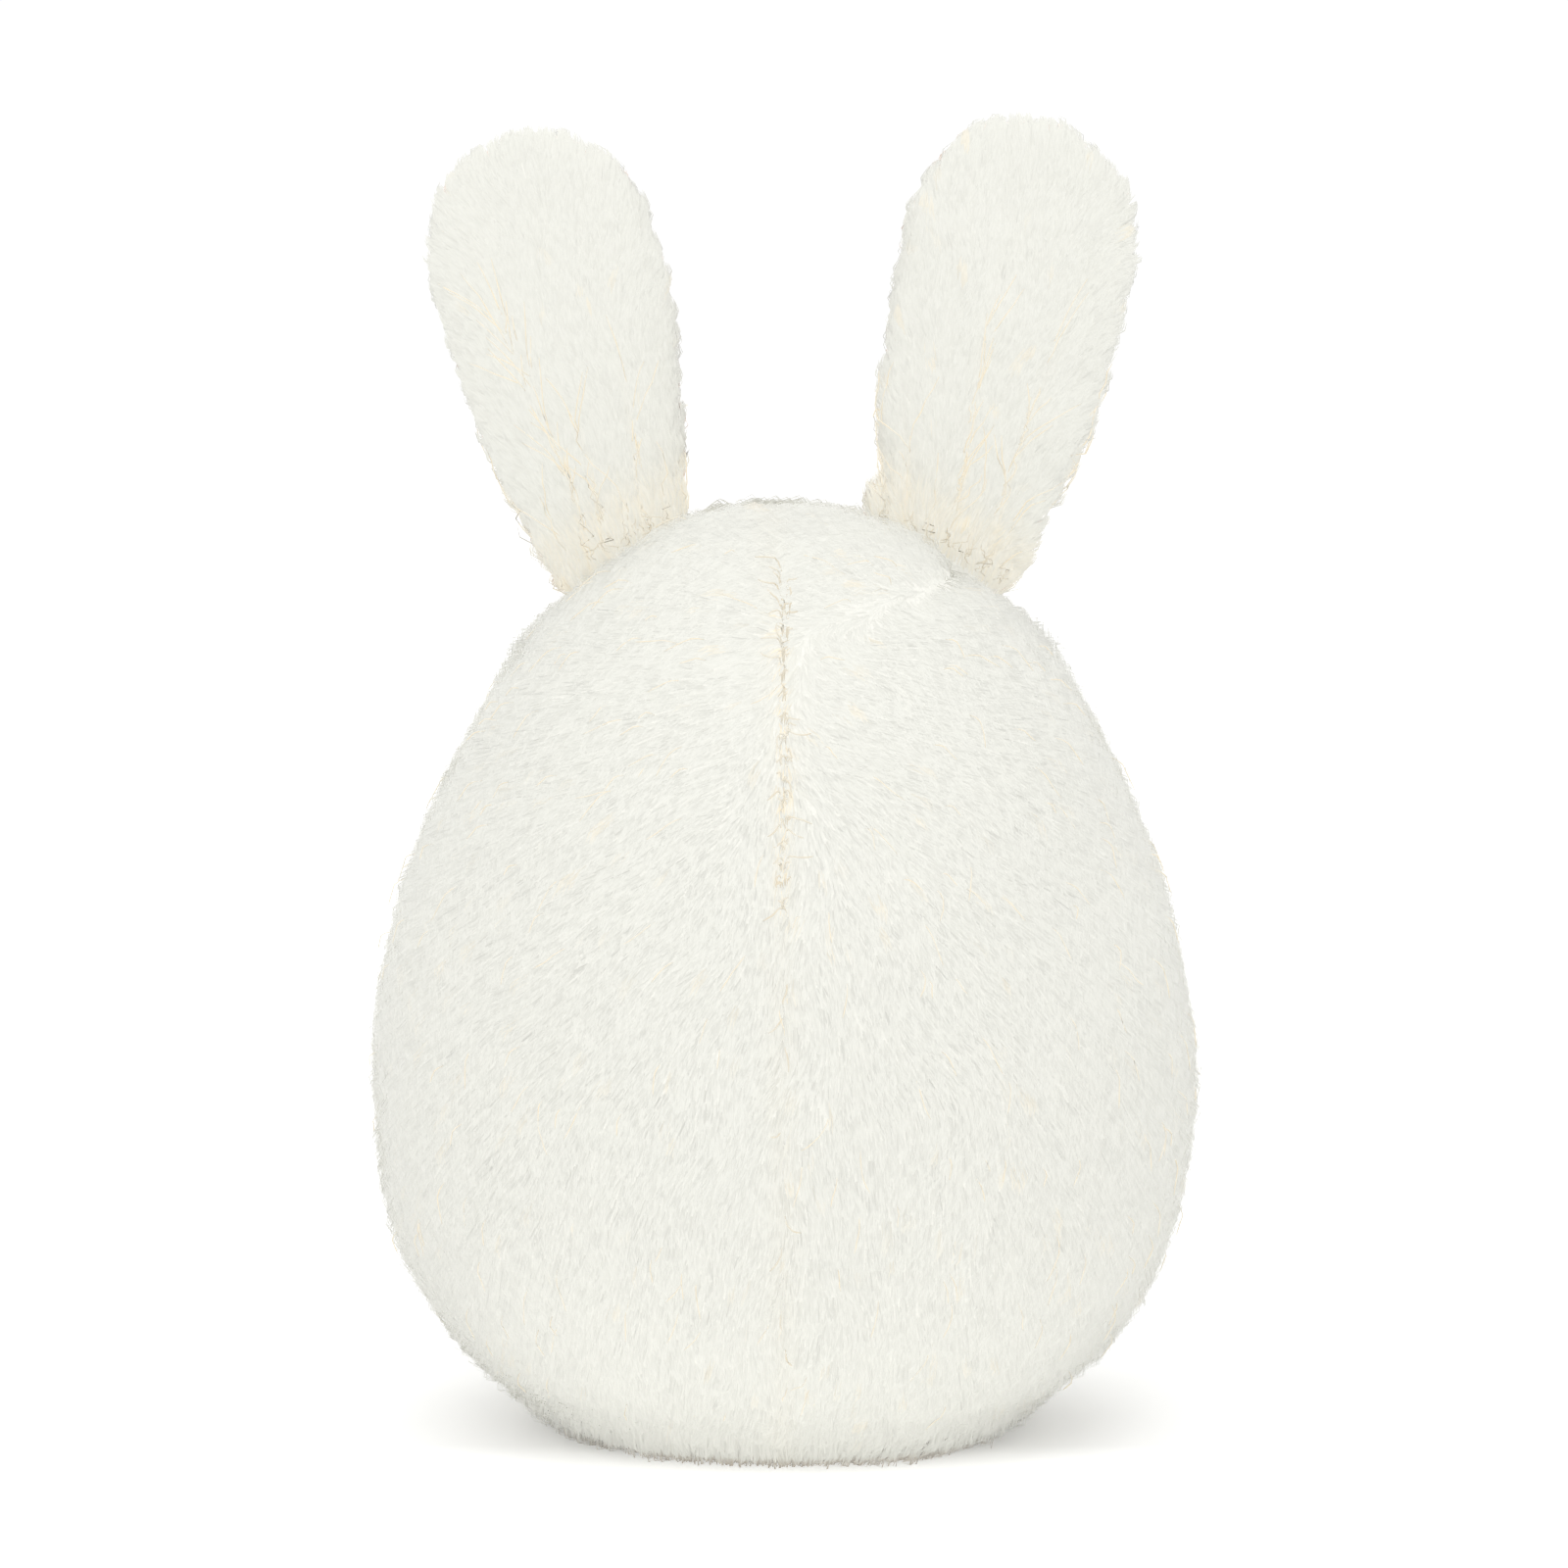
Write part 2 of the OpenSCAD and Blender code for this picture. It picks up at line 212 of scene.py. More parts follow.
def piece(name, mesh, material, body_name=None, stands_for=(), smooth=True):
    """A new object of the bunny: its finish, the body that it rides on and the nodes that it stands for."""
    obj = bpy.data.objects.new(name, mesh)
    bpy.context.scene.collection.objects.link(obj)
    if smooth:
        mesh.shade_smooth()
    mesh.materials.clear()
    mesh.materials.append(material)
    if stands_for:
        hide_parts(*stands_for)
    if body_name:
        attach(obj, body_name)
    return obj


def mesh_of(name, points, faces):
    mesh = bpy.data.meshes.new(name)
    mesh.from_pydata([tuple(p) for p in points], [], [tuple(f) for f in faces])
    mesh.update()
    return mesh


def points_of(mesh):
    co = np.empty(len(mesh.vertices) * 3)
    mesh.vertices.foreach_get("co", co)
    return co.reshape(-1, 3)


def normals_of(mesh):
    n = np.empty(len(mesh.vertices) * 3)
    mesh.vertex_normals.foreach_get("vector", n)
    return n.reshape(-1, 3)


def put_points(mesh, points):
    mesh.vertices.foreach_set("co", np.asarray(points, np.float32).ravel())
    mesh.update()


def ring_faces(rings, around):
    """Quads between rings of vertices that follow one another, each going round once."""
    faces = []
    for i in range(rings - 1):
        for j in range(around):
            k = (j + 1) % around
            faces.append((i * around + j, i * around + k, (i + 1) * around + k, (i + 1) * around + j))
    return faces


def lofted(name, rings):
    """A closed skin over rings of points, with a flat cap at each end."""
    around = len(rings[0])
    faces = ring_faces(len(rings), around)
    last = (len(rings) - 1) * around
    faces.append(tuple(range(around - 1, -1, -1)))
    faces.append(tuple(range(last, last + around)))
    return mesh_of(name, [p for ring in rings for p in ring], faces)


def with_modifiers(mesh, *settings):
    """A copy of a mesh after modifiers, each given as (type, its values)."""
    obj = bpy.data.objects.new("work", mesh)
    bpy.context.scene.collection.objects.link(obj)
    for kind, values in settings:
        modifier = obj.modifiers.new(kind, kind)
        for key, value in values.items():
            setattr(modifier, key, value)
    graph = bpy.context.evaluated_depsgraph_get()
    made = bpy.data.meshes.new_from_object(obj.evaluated_get(graph))
    bpy.data.objects.remove(obj)
    return made


def tube(points, radius, sides=8):
    """Vertices and faces of a closed tube along points, with rounded ends."""
    path = np.asarray(points, float)
    along = unit(np.gradient(path, axis=0))
    across = unit(np.cross(along, [0.31, 0.17, 0.93]))
    turn = np.linspace(0, 2 * math.pi, sides, endpoint=False)
    size = np.full(len(path), radius)
    size[[0, -1]] *= 0.45
    rings = [p + size[i] * (np.cos(turn)[:, None] * across[i]
                            + np.sin(turn)[:, None] * np.cross(along[i], across[i]))
             for i, p in enumerate(path)]
    faces = ring_faces(len(path), sides)
    last = (len(path) - 1) * sides
    faces += [tuple(range(sides - 1, -1, -1)), tuple(range(last, last + sides))]
    return np.concatenate(rings), faces


def tubes(name, paths, radius, sides=8):
    """One mesh of several tubes."""
    points, faces, count = [], [], 0
    for path in paths:
        p, f = tube(path, radius, sides)
        points.append(p)
        faces += [tuple(i + count for i in face) for face in f]
        count += len(p)
    return mesh_of(name, np.concatenate(points), faces)


def rounded(points, steps=4):
    """A smooth path through points, by Catmull-Rom."""
    p = np.asarray(points, float)
    p = np.concatenate([[2 * p[0] - p[1]], p, [2 * p[-1] - p[-2]]])
    out = []
    for i in range(1, len(p) - 2):
        for t in np.arange(steps) / steps:
            out.append(0.5 * (2 * p[i] + (p[i + 1] - p[i - 1]) * t
                              + (2 * p[i - 1] - 5 * p[i] + 4 * p[i + 1] - p[i + 2]) * t * t
                              + (3 * p[i] - p[i - 1] - 3 * p[i + 1] + p[i + 2]) * t ** 3))
    out.append(p[-2])
    return np.array(out)


class Waves:
    """Smooth noise: a sum of sine waves in seeded directions, about -1 to 1."""

    def __init__(self, seed, size, count=7):
        rng = np.random.default_rng(seed)
        self.k = unit(rng.normal(size=(count, 3))) * (2 * math.pi / size) * rng.uniform(0.6, 1.5, (count, 1))
        self.shift = rng.uniform(0, 2 * math.pi, count)

    def __call__(self, points):
        return np.sin(points @ self.k.T + self.shift).sum(1) / math.sqrt(len(self.shift)) / 1.2


# ---- stuffing a fabric skin ----


def stuffed(mesh, cell, cap, held, level=True):
    """A skin after its filling has swelled it between the seams that held says. Each point moves at most
    cap."""
    fabric = with_modifiers(mesh, ("REMESH", {"mode": "VOXEL", "voxel_size": cell}))
    start = points_of(fabric)
    put_points(fabric, swell(fabric, held(start)))
    move = points_of(fabric) - start
    far = np.linalg.norm(move, axis=1, keepdims=True)
    move *= np.minimum(1.0, cap / np.maximum(far, 1e-9))
    put_points(fabric, start)
    out = normals_of(fabric)
    if level:
        move -= out * float(np.mean(dot(move, out)))
    put_points(fabric, start + move)
    return with_modifiers(fabric, ("SMOOTH", {"factor": 0.5, "iterations": 2}), ("SUBSURF", {"levels": 1}))


def swell(mesh, held):
    """Where the fabric's points are after a cloth simulation with pressure inside and no gravity."""
    scene = bpy.context.scene
    obj = bpy.data.objects.new("stuffing_run", mesh.copy())
    scene.collection.objects.link(obj)
    group = obj.vertex_groups.new(name="seams")
    for i, weight in enumerate(held):
        if weight > 0.02:
            group.add([i], float(weight), "REPLACE")
    cloth = obj.modifiers.new("stuff", "CLOTH")
    settings = cloth.settings
    settings.quality = 6
    settings.mass = 0.25
    settings.use_pressure = True
    settings.uniform_pressure_force = body().puff
    settings.effector_weights.gravity = 0
    settings.vertex_group_mass = group.name
    for frame_number in range(1, 21):
        scene.frame_set(frame_number)
    graph = bpy.context.evaluated_depsgraph_get()
    made = points_of(bpy.data.meshes.new_from_object(obj.evaluated_get(graph)))
    bpy.data.objects.remove(obj)
    scene.frame_set(1)
    return made


def cut_along(mesh, planes):
    """Cuts edges into a mesh along planes, each (a point, a normal)."""
    work = bmesh.new()
    work.from_mesh(mesh)
    for point, normal in planes:
        bmesh.ops.bisect_plane(work, geom=work.verts[:] + work.edges[:] + work.faces[:], dist=1e-6,
                               plane_co=point, plane_no=normal)
    work.to_mesh(mesh)
    work.free()
    mesh.update()


def panel_of(mesh, name, keep, thickness):
    """The part of a skin whose face centres keep() takes, as a closed panel of that thickness."""
    work = bmesh.new()
    work.from_mesh(mesh)
    gone = [f for f in work.faces if not keep(f.calc_center_median())]
    bmesh.ops.delete(work, geom=gone, context="FACES")
    part = bpy.data.meshes.new(name)
    work.to_mesh(part)
    work.free()
    thick = with_modifiers(part, ("SOLIDIFY", {"thickness": thickness, "offset": -1.0,
                                               "use_even_offset": False}))
    thick.name = name
    return part, thick


# ---- the egg ----


def egg_half(z, inset=0.0):
    """Half width of the egg at heights z, moved in by inset."""
    b = body()
    z = np.asarray(z, float)
    up = np.clip((z - b.belly_z) / (CROWN_Z - inset - b.belly_z), 0, 1)
    down = np.clip((b.belly_z - z) / (b.hip_drop - inset), 0, 1)
    upper = (1 - up ** b.shoulder_power) ** (1 / b.crown_power)
    lower = np.sqrt(1 - down ** b.hip_power)
    return (BODY_R - inset) * np.where(z >= b.belly_z, upper, lower)


def egg_skin(inset, around=72, levels=44):
    """The egg's skin moved in by inset, standing on its flat base."""
    turn = np.linspace(0, 2 * math.pi, around, endpoint=False)
    rise = 0.5 - 0.5 * np.cos(np.linspace(0.02, 0.985, levels) * math.pi)
    low, high = inset * 0.35, CROWN_Z - inset
    rings = []
    for z in low + (high - low) * rise:
        r = float(egg_half(z, inset))
        rings.append([(r * math.cos(a), r * math.sin(a), z) for a in turn])
    return lofted("egg", rings)


def near(distance, reach):
    """1 on a line, falling to 0 past its reach."""
    return np.exp(-(distance / reach) ** 2)


def seam_closeness(p, reach):
    """How near points on the body are to its seams: down the back, up both sides and round the base."""
    above = p[:, 2] > SEAM_Z
    back = near(p[:, 0], reach) * (p[:, 1] > 0) * above
    side = near(p[:, 1], reach) * above
    base = near(p[:, 2] - SEAM_Z, reach) * (np.hypot(p[:, 0], p[:, 1]) > BASE_HIGH.x * 0.8)
    return back, side, base


BODY_PANELS = {
    "front_panel": lambda c: c.y < 0 and c.z > SEAM_Z,
    "back_left_panel": lambda c: c.y > 0 and c.x > 0 and c.z > SEAM_Z,
    "back_right_panel": lambda c: c.y > 0 and c.x < 0 and c.z > SEAM_Z,
    "base_panel": lambda c: c.z < SEAM_Z,
}


def seam_planes():
    """Cuts on the body's seams and beside them, so that a seam's valley has points to shape it."""
    reach = body().seam_reach
    found = []
    for offset in (0, -0.45 * reach, 0.45 * reach, -reach, reach):
        found += [((offset, 0, 0), (1, 0, 0)), ((0, offset, 0), (0, 1, 0)),
                  ((0, 0, SEAM_Z + offset), (0, 0, 1))]
    return found


class BodyFabric(bpy.types.Operator):
    """Cuts, sews and stuffs the four panels of the body"""

    bl_idname = "bunny.body_fabric"
    bl_label = "Body fabric"

    def execute(self, context):
        b = body()

        def held(p):
            back, side, base = seam_closeness(p, 2 * b.seam_reach)
            return np.clip(np.maximum(np.maximum(back * 0.8, side * 0.8), base), 0, 1)

        skin = stuffed(egg_skin(b.pile_room), b.cell, b.puff_cap, held)
        cut_along(skin, seam_planes())
        p, n = points_of(skin), normals_of(skin)
        back, side, base = seam_closeness(p, b.seam_reach)
        pull = b.seam_pull * (0.4 * back + 0.7 * side + 0.8 * base)
        dimple = 0.35 * MM * Waves(11, 34 * MM)(p)
        p += n * (dimple - pull)[:, None]
        p[:, 2] = np.maximum(p[:, 2], 0.4 * MM)
        put_points(skin, p)
        for node, keep in BODY_PANELS.items():
            open_panel, thick = panel_of(skin, node + "_fabric", keep, b.fabric_t)
            open_panel.name = node + "_ground"
            open_panel.use_fake_user = True
            made = piece(node + "_fabric", thick, backing_material(), TORSO, [node])
        return {"FINISHED"}


# ---- pile ----


def tangent(direction, n):
    """The part of directions that lies in the surface with normals n."""
    d = np.broadcast_to(np.asarray(direction, float), n.shape)
    return d - n * dot(d, n)


def turned(d, n, angle):
    """Tangents d turned about the normals n by angles."""
    c, s = np.cos(angle)[:, None], np.sin(angle)[:, None]
    return d * c + np.cross(n, d) * s


def scatter(mesh, count, rng):
    """Random points spread evenly on a mesh, with the normals there."""
    mesh.calc_loop_triangles()
    corners = np.empty(len(mesh.loop_triangles) * 3, np.int32)
    mesh.loop_triangles.foreach_get("vertices", corners)
    corners = corners.reshape(-1, 3)
    p, n = points_of(mesh), normals_of(mesh)
    a, b, c = (p[corners[:, i]] for i in range(3))
    area = np.linalg.norm(np.cross(b - a, c - a), axis=1) / 2
    pick = np.searchsorted(np.cumsum(area) / area.sum(), rng.random(count)).clip(0, len(area) - 1)
    u, v = rng.random(count), rng.random(count)
    over = u + v > 1
    u[over], v[over] = 1 - u[over], 1 - v[over]
    weights = np.stack([1 - u - v, u, v], 1)[:, :, None]
    spots = (p[corners[pick]] * weights).sum(1)
    return spots, unit((n[corners[pick]] * weights).sum(1)), area.sum()


def nearest(points, centres):
    """The index of the nearest centre to each point, by cells as wide as the centres' spacing."""
    tree = KDTree(len(centres))
    for i, c in enumerate(centres):
        tree.insert(c, i)
    tree.balance()
    return np.array([tree.find(p)[1] for p in points])


def off_parting(p):
    """How far points are from the pile's parting, which leaves the back seam for one side near the crown."""
    combed_over = 45 * MM * np.clip((p[:, 2] - 121 * MM) / (15 * MM), 0, 1)
    return p[:, 0] + 2.2 * MM * Waves(3, 9 * MM)(p) + combed_over


def body_flow(p, n):
    """Which way the body's pile lies: to one side over the crown, away from its parting at the shoulders, and
    down below."""
    down = tangent((0, 0, -1), n)
    outward = tangent((1, 0, 0), n) * np.tanh(off_parting(p) / (8 * MM))[:, None]
    height = p[:, 2] / CROWN_Z
    spread = np.interp(height, [0.0, 0.2, 0.44, 0.6, 0.72, 0.88, 1.0], [0.02, 0.05, 0.2, 0.5, 1.0, 1.9, 3.0])
    drift = tangent((1, 0, 0), n) * 0.13
    return unit(down + outward * spread[:, None] + drift)


# A tuft's shape: the share of its length that it covers, and where it starts, bends and ends over the fabric
LAID = 0.95
BEND_AT = 0.52
START_LIFT = 0.35
TIP_LIFT = 0.8
CLUMP_LIFT = 0.62


def from_middle(p, n):
    """The body's tufts face away from its middle, most of all on the crown."""
    away = p * [1, 1, 0]
    return unit(n + 0.8 * away / np.maximum(np.linalg.norm(away, axis=1, keepdims=True), 1 * MM))


def groom(name, ground, count, flow, seed, length, width, room, outward, keep=None, tint=None, shorten=None,
          stand=None):
    """A mesh of pile: flat tapered tufts that lie along flow, drawn together in clumps. The tufts turn their
    flat sides to outward, a function of points and normals. From points on the ground, tint gives how cream
    each tuft is, shorten how long it is, and stand how far it stands up."""
    rng = np.random.default_rng(seed)
    roots, n, area = scatter(ground, count, rng)
    centres, centre_n, _ = scatter(ground, int(area / pile().clump ** 2), rng)
    if keep is not None:
        taken = keep(roots)
        roots, n = roots[taken], n[taken]
    home = nearest(roots, centres)
    swirl = Waves(seed + 1, 26 * MM)
    ripple = Waves(seed + 2, 9 * MM)

    def lay(p, normal):
        return turned(flow(p, normal), normal, 0.22 * swirl(p) + 0.14 * ripple(p))

    clump_d = turned(lay(centres, centre_n), centre_n, rng.normal(0, 0.10, len(centres)))
    clump_len = rng.uniform(0.85, 1.15, len(centres)) * length
    clump_lift = rng.uniform(0.72, 1.05, len(centres))
    clump_tint = np.where(rng.random(len(centres)) < 0.02, rng.uniform(0.1, 0.4, len(centres)), 0.0)
    pull = rng.uniform(0.25, 0.75, len(centres))[home][:, None]

    total = len(roots)
    d = turned(lay(roots, n), n, rng.normal(0, 0.10, total))
    long = clump_len[home] * rng.uniform(0.75, 1.1, total)
    if shorten is not None:
        long *= shorten(roots)
    lift = room * clump_lift[home] * np.clip(rng.normal(0.82, 0.16, total), 0.3, 1.12)
    lift *= np.clip(long / length, 0.45, 1.0)
    if stand is not None:
        lift *= stand(roots)
    tip_at = roots + d * (long * LAID)[:, None] + n * (lift * TIP_LIFT)[:, None]
    gather = centres[home] + clump_d[home] * (clump_len[home] * LAID)[:, None]
    gather += centre_n[home] * (room * clump_lift[home] * CLUMP_LIFT)[:, None]
    near_gather = tip_at + (gather - tip_at) * pull
    if shorten is not None:
        near_gather = tip_at + (near_gather - tip_at) * np.clip(shorten(roots) * 1.4 - 0.4, 0, 1)[:, None]
    middle = roots + d * (long * BEND_AT)[:, None] + n * lift[:, None]
    middle += (near_gather - tip_at) * 0.35

    facing = outward(roots, n)
    across = unit(np.cross(d, facing))
    tilt = rng.normal(0, 0.22, total).clip(-0.5, 0.5)
    across = across * np.cos(tilt)[:, None] + facing * np.sin(tilt)[:, None]
    half = (width / 2 * rng.uniform(0.6, 1.25, total))[:, None] * across
    start = roots + n * (lift * START_LIFT - 0.1 * MM)[:, None]
    corners = np.stack([start - half, start + half, middle + half * 0.8, middle - half * 0.8,
                        near_gather], 1)
    shade = unit(n + 0.25 * facing + 0.13 * rng.normal(size=(total, 3)))
    colour = clump_tint[home]
    if tint is not None:
        colour = np.clip(colour + tint(roots, rng), 0, 1)
    return tuft_mesh(name, corners, shade, colour)


def tuft_mesh(name, corners, shade, tint):
    """A mesh with a quad and a triangle for each tuft, shaded by the normals given for it."""
    total = len(corners)
    first = np.arange(total)[:, None] * 5
    quads, ends = first + [0, 1, 2, 3], first + [3, 2, 4]
    mesh = bpy.data.meshes.new(name)
    mesh.vertices.add(total * 5)
    mesh.vertices.foreach_set("co", corners.astype(np.float32).ravel())
    mesh.loops.add(total * 7)
    mesh.loops.foreach_set("vertex_index", np.concatenate([quads, ends], 1).astype(np.int32).ravel())
    mesh.polygons.add(total * 2)
    starts = np.arange(total)[:, None] * 7 + [0, 4]
    mesh.polygons.foreach_set("loop_start", starts.astype(np.int32).ravel())
    mesh.update(calc_edges=True)
    mesh.shade_smooth()
    for key, value in (("along", np.tile([0.0, 0.0, 0.5, 0.5, 1.0], total)), ("tint", np.repeat(tint, 5))):
        mesh.attributes.new(key, "FLOAT", "POINT").data.foreach_set("value", value.astype(np.float32))
    mesh.normals_split_custom_set_from_vertices(np.repeat(shade, 5, axis=0).tolist())
    return mesh


def ear_root_line(side):
    """The two ends of the line where an ear's fabric meets the head."""
    joint = JOINTS["ear_left_flop" if side == LEFT else "ear_right_flop"]
    middle, axis = Vector(joint["pos_m"]), Vector(joint["axis"])
    half = ear().width / 2 - ear().neck
    return middle - axis * half, middle + axis * half


def in_ear(p, name, spare):
    """True for points inside an ear's outline made larger by spare."""
    side, habit = SIDES[name], EAR_HABITS[name]
    s, u, h = ear_place(p, side)
    half = ear_half_width(u, habit, -spare)
    deep = ear().root_thickness / 2 - ear().pile_room + spare
    inside = ((s - ear_middle(u, habit)) / half) ** 2 + (h / deep) ** 2 < 1
    return inside & (np.abs(u) < 20 * MM)


def clear_of_ears(p):
    """True for roots outside the two ear roots."""
    free = np.ones(len(p), bool)
    for name in SIDES:
        free &= ~in_ear(p, name, 0.2 * MM)
    return free


def eye_spots():
    """The middle and the radius of each eye."""
    found = []
    for side in SIDES:
        low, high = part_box("eye_" + side)
        found.append((np.array([(low.x + high.x) / 2, low.y, (low.z + high.z) / 2]),
                      (high.z - low.z) / 2))
    return found


def clear_of_face(p):
    """True for roots whose tufts leave the eyes, the nose and the mouth free."""
    free = clear_of_ears(p)
    for middle, r in eye_spots():
        away = p[:, [0, 2]] - middle[[0, 2]]
        free &= np.hypot(away[:, 0], away[:, 1]) > 0.95 * r
    for node in ("nose", "mouth_stitch"):
        low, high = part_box(node)
        inside = ((p[:, 0] > low.x) & (p[:, 0] < high.x) & (p[:, 2] > low.z) & (p[:, 2] < high.z))
        free &= ~inside
    return free


def left_of_face(p):
    return clear_of_face(p) & (p[:, 0] >= 0)


def right_of_face(p):
    return clear_of_face(p) & (p[:, 0] < 0)


def closing_dash(p):
    """1 where a stitch of the closing seam shows, and 0 between two of them and away from the seam."""
    low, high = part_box("closing_stitches")
    on_seam = (p[:, 1] > 0) * (p[:, 2] > low.z) * (p[:, 2] < high.z)
    return on_seam * (np.sin(2 * math.pi * p[:, 2] / PITCH + 1.5 * np.sin(p[:, 2] / (5 * MM))) > 0.1)


def body_tint(p, rng):
    """Cream in the pile at the closing seam, round the ear roots and at the base seam's tucks."""
    closing = near(p[:, 0], 1.0 * MM) * closing_dash(p)
    lower = near(p[:, 0], 2.2 * MM) * (p[:, 1] > 0) * 0.10
    root = np.zeros(len(p))
    for name in SIDES:
        root = np.maximum(root, in_ear(p, name, 1.6 * MM))
    tuck = near(p[:, 2] - 8.5 * MM, 3.5 * MM) * near(p[:, 1], 12 * MM) * (np.abs(p[:, 0]) > 35 * MM)
    spots = rng.uniform(0.2, 1.0, len(p))
    return (1.3 * closing + 0.20 * root + lower + 0.3 * tuck) * spots


def body_shorten(p):
    """The closing stitches trap the pile, so that it is short beside them."""
    return 1 - 0.55 * near(p[:, 0], 0.9 * MM) * closing_dash(p)


def body_stand(p):
    """The pile stands up where an ear's outer corner pushes against the shoulder, and lies flat at the
    parting."""
    corner = np.abs(np.abs(p[:, 0]) - 37 * MM) + np.abs(p[:, 1]) * 0.5
    parting = near(off_parting(p), 8 * MM) * np.clip((p[:, 2] - 108 * MM) / (12 * MM), 0, 1)
    return 1 + 0.9 * near(corner, 5 * MM) * near(p[:, 2] - 122 * MM, 7 * MM) - 0.6 * parting


class BodyPile(bpy.types.Operator):
    """Grooms the pile of the body's panels"""

    bl_idname = "bunny.body_pile"
    bl_label = "Body pile"

    def execute(self, context):
        s = pile()
        share = 1.0
        room = body().pile_lift
        plans = {
            "back_left_pile": ("back_left_panel_ground", clear_of_ears, s.tufts),
            "back_right_pile": ("back_right_panel_ground", clear_of_ears, s.tufts),
            "face_left_pile": ("front_panel_ground", left_of_face, 2 * s.tufts),
            "face_right_pile": ("front_panel_ground", right_of_face, 2 * s.tufts),
            "base_pile": ("base_panel_ground", None, s.tufts // 3),
        }
        for seed, (name, (ground, keep, count)) in enumerate(plans.items()):
            mesh = groom(name, bpy.data.meshes[ground], int(count * share), body_flow, 100 + 10 * seed,
                         s.length, s.width, room, from_middle, keep, body_tint, body_shorten, body_stand)
            settle_on_table(mesh)
            airy(piece(name, mesh, pile_material(), TORSO, smooth=False))
        body_strands()
        return {"FINISHED"}


def trails(ground, starts, normals, flow, lengths, rise, rng, curl=0.35):
    """Paths of loose strands that follow flow over a fabric, at a height of rise over it."""
    tree = BVHTree.FromPolygons([tuple(p) for p in points_of(ground)],
                                [tuple(f.vertices) for f in ground.polygons])
    steps = 7
    paths = []
    for start, normal, length in zip(starts, normals, lengths):
        at, up = np.array(start), np.array(normal)
        angle, turn = rng.normal(0, 0.25), rng.normal(0, curl) / steps
        height = rise * rng.uniform(0.8, 1.15)
        path = []
        for i in range(steps):
            path.append(at + up * height * min(1.0, 0.55 + 0.3 * i))
            way = turned(flow(at[None], up[None]), up[None], np.array([angle + turn * i]))[0]
            hit, hit_normal = tree.find_nearest(Vector(at + way * length / (steps - 1)))[:2]
            at, up = np.array(hit), np.array(hit_normal)
        paths.append(np.array(path))
    return paths


def strand_piece(name, paths, radius, tone, body_name=None):
    """Loose strands as one piece of pile."""
    obj = piece(name, tubes(name, paths, radius, 5), strand_material(tone), body_name)
    airy(obj)
    return obj


def backwards(count):
    """Normals of points on the back's middle line."""
    return np.tile([0.0, 1.0, 0.0], (count, 1))


def body_strands():
    """Loose cream strands over the back, and the wisps that the closing seam has caught."""
    rng = np.random.default_rng(77)
    rise = 0.95 * body().pile_lift
    low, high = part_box("closing_stitches")
    pale, dark = [], []
    for half in ("back_left_panel_ground", "back_right_panel_ground"):
        ground = bpy.data.meshes[half]
        p, n, _ = scatter(ground, 120, rng)
        free = clear_of_ears(p) & (p[:, 2] > 12 * MM)
        p, n = p[free], n[free]
        pale += trails(ground, p, n, body_flow, rng.uniform(2.0, 6.5, len(p)) * MM, rise, rng)
    left = bpy.data.meshes["back_left_panel_ground"]
    right = bpy.data.meshes["back_right_panel_ground"]

    def aside(way, up):
        return lambda p, normal: unit(tangent((way, 0, up), normal))

    # Wisps: the fabric, its side, how many, the lowest and highest one, and how far they point up
    wisps = (
        (left, 1, 8, high.z - 6 * MM, high.z + 7 * MM, 0.35),
        (right, -1, 3, high.z - 2 * MM, high.z + 7 * MM, -0.7),
        (left, 1, 9, low.z, high.z - 4 * MM, -0.9),
        (right, -1, 9, low.z, high.z - 4 * MM, -0.9),
        (left, 1, 4, 22 * MM, low.z - 4 * MM, -2.5),
        (right, -1, 4, 22 * MM, low.z - 4 * MM, -2.5),
    )
    for ground, way, count, bottom, top, up in wisps:
        z = rng.uniform(bottom, top, count)
        x = way * rng.uniform(0.05, 0.6, count) * MM
        starts = np.stack([x, egg_half(z, body().pile_room), z], 1)
        lengths = rng.uniform(1.6, 4.2, count) * MM
        dark += trails(ground, starts, backwards(count), aside(way, up), lengths, rise, rng, 1.2)
    # Short ends that each stitch has pulled up, two on either side
    for z in np.arange(low.z, high.z + 2 * MM, 1.15 * PITCH):
        x = rng.normal(0, 0.35, 4) * MM
        y = np.full(4, float(egg_half(z, body().pile_room)))
        starts = np.stack([x, y, z + rng.normal(0, 0.4, 4) * MM], 1)
        for ground, way, ends in ((left, 1, starts[:2]), (right, -1, starts[2:])):
            lie = aside(way, rng.normal(0, 0.8))
            dark += trails(ground, ends, backwards(2), lie, rng.uniform(0.5, 1.1, 2) * MM, rise, rng, 0.6)
    strand_piece("back_strands", pale, 0.09 * MM, "pale", TORSO)
    strand_piece("seam_wisps", dark, 0.13 * MM, "warm", TORSO)


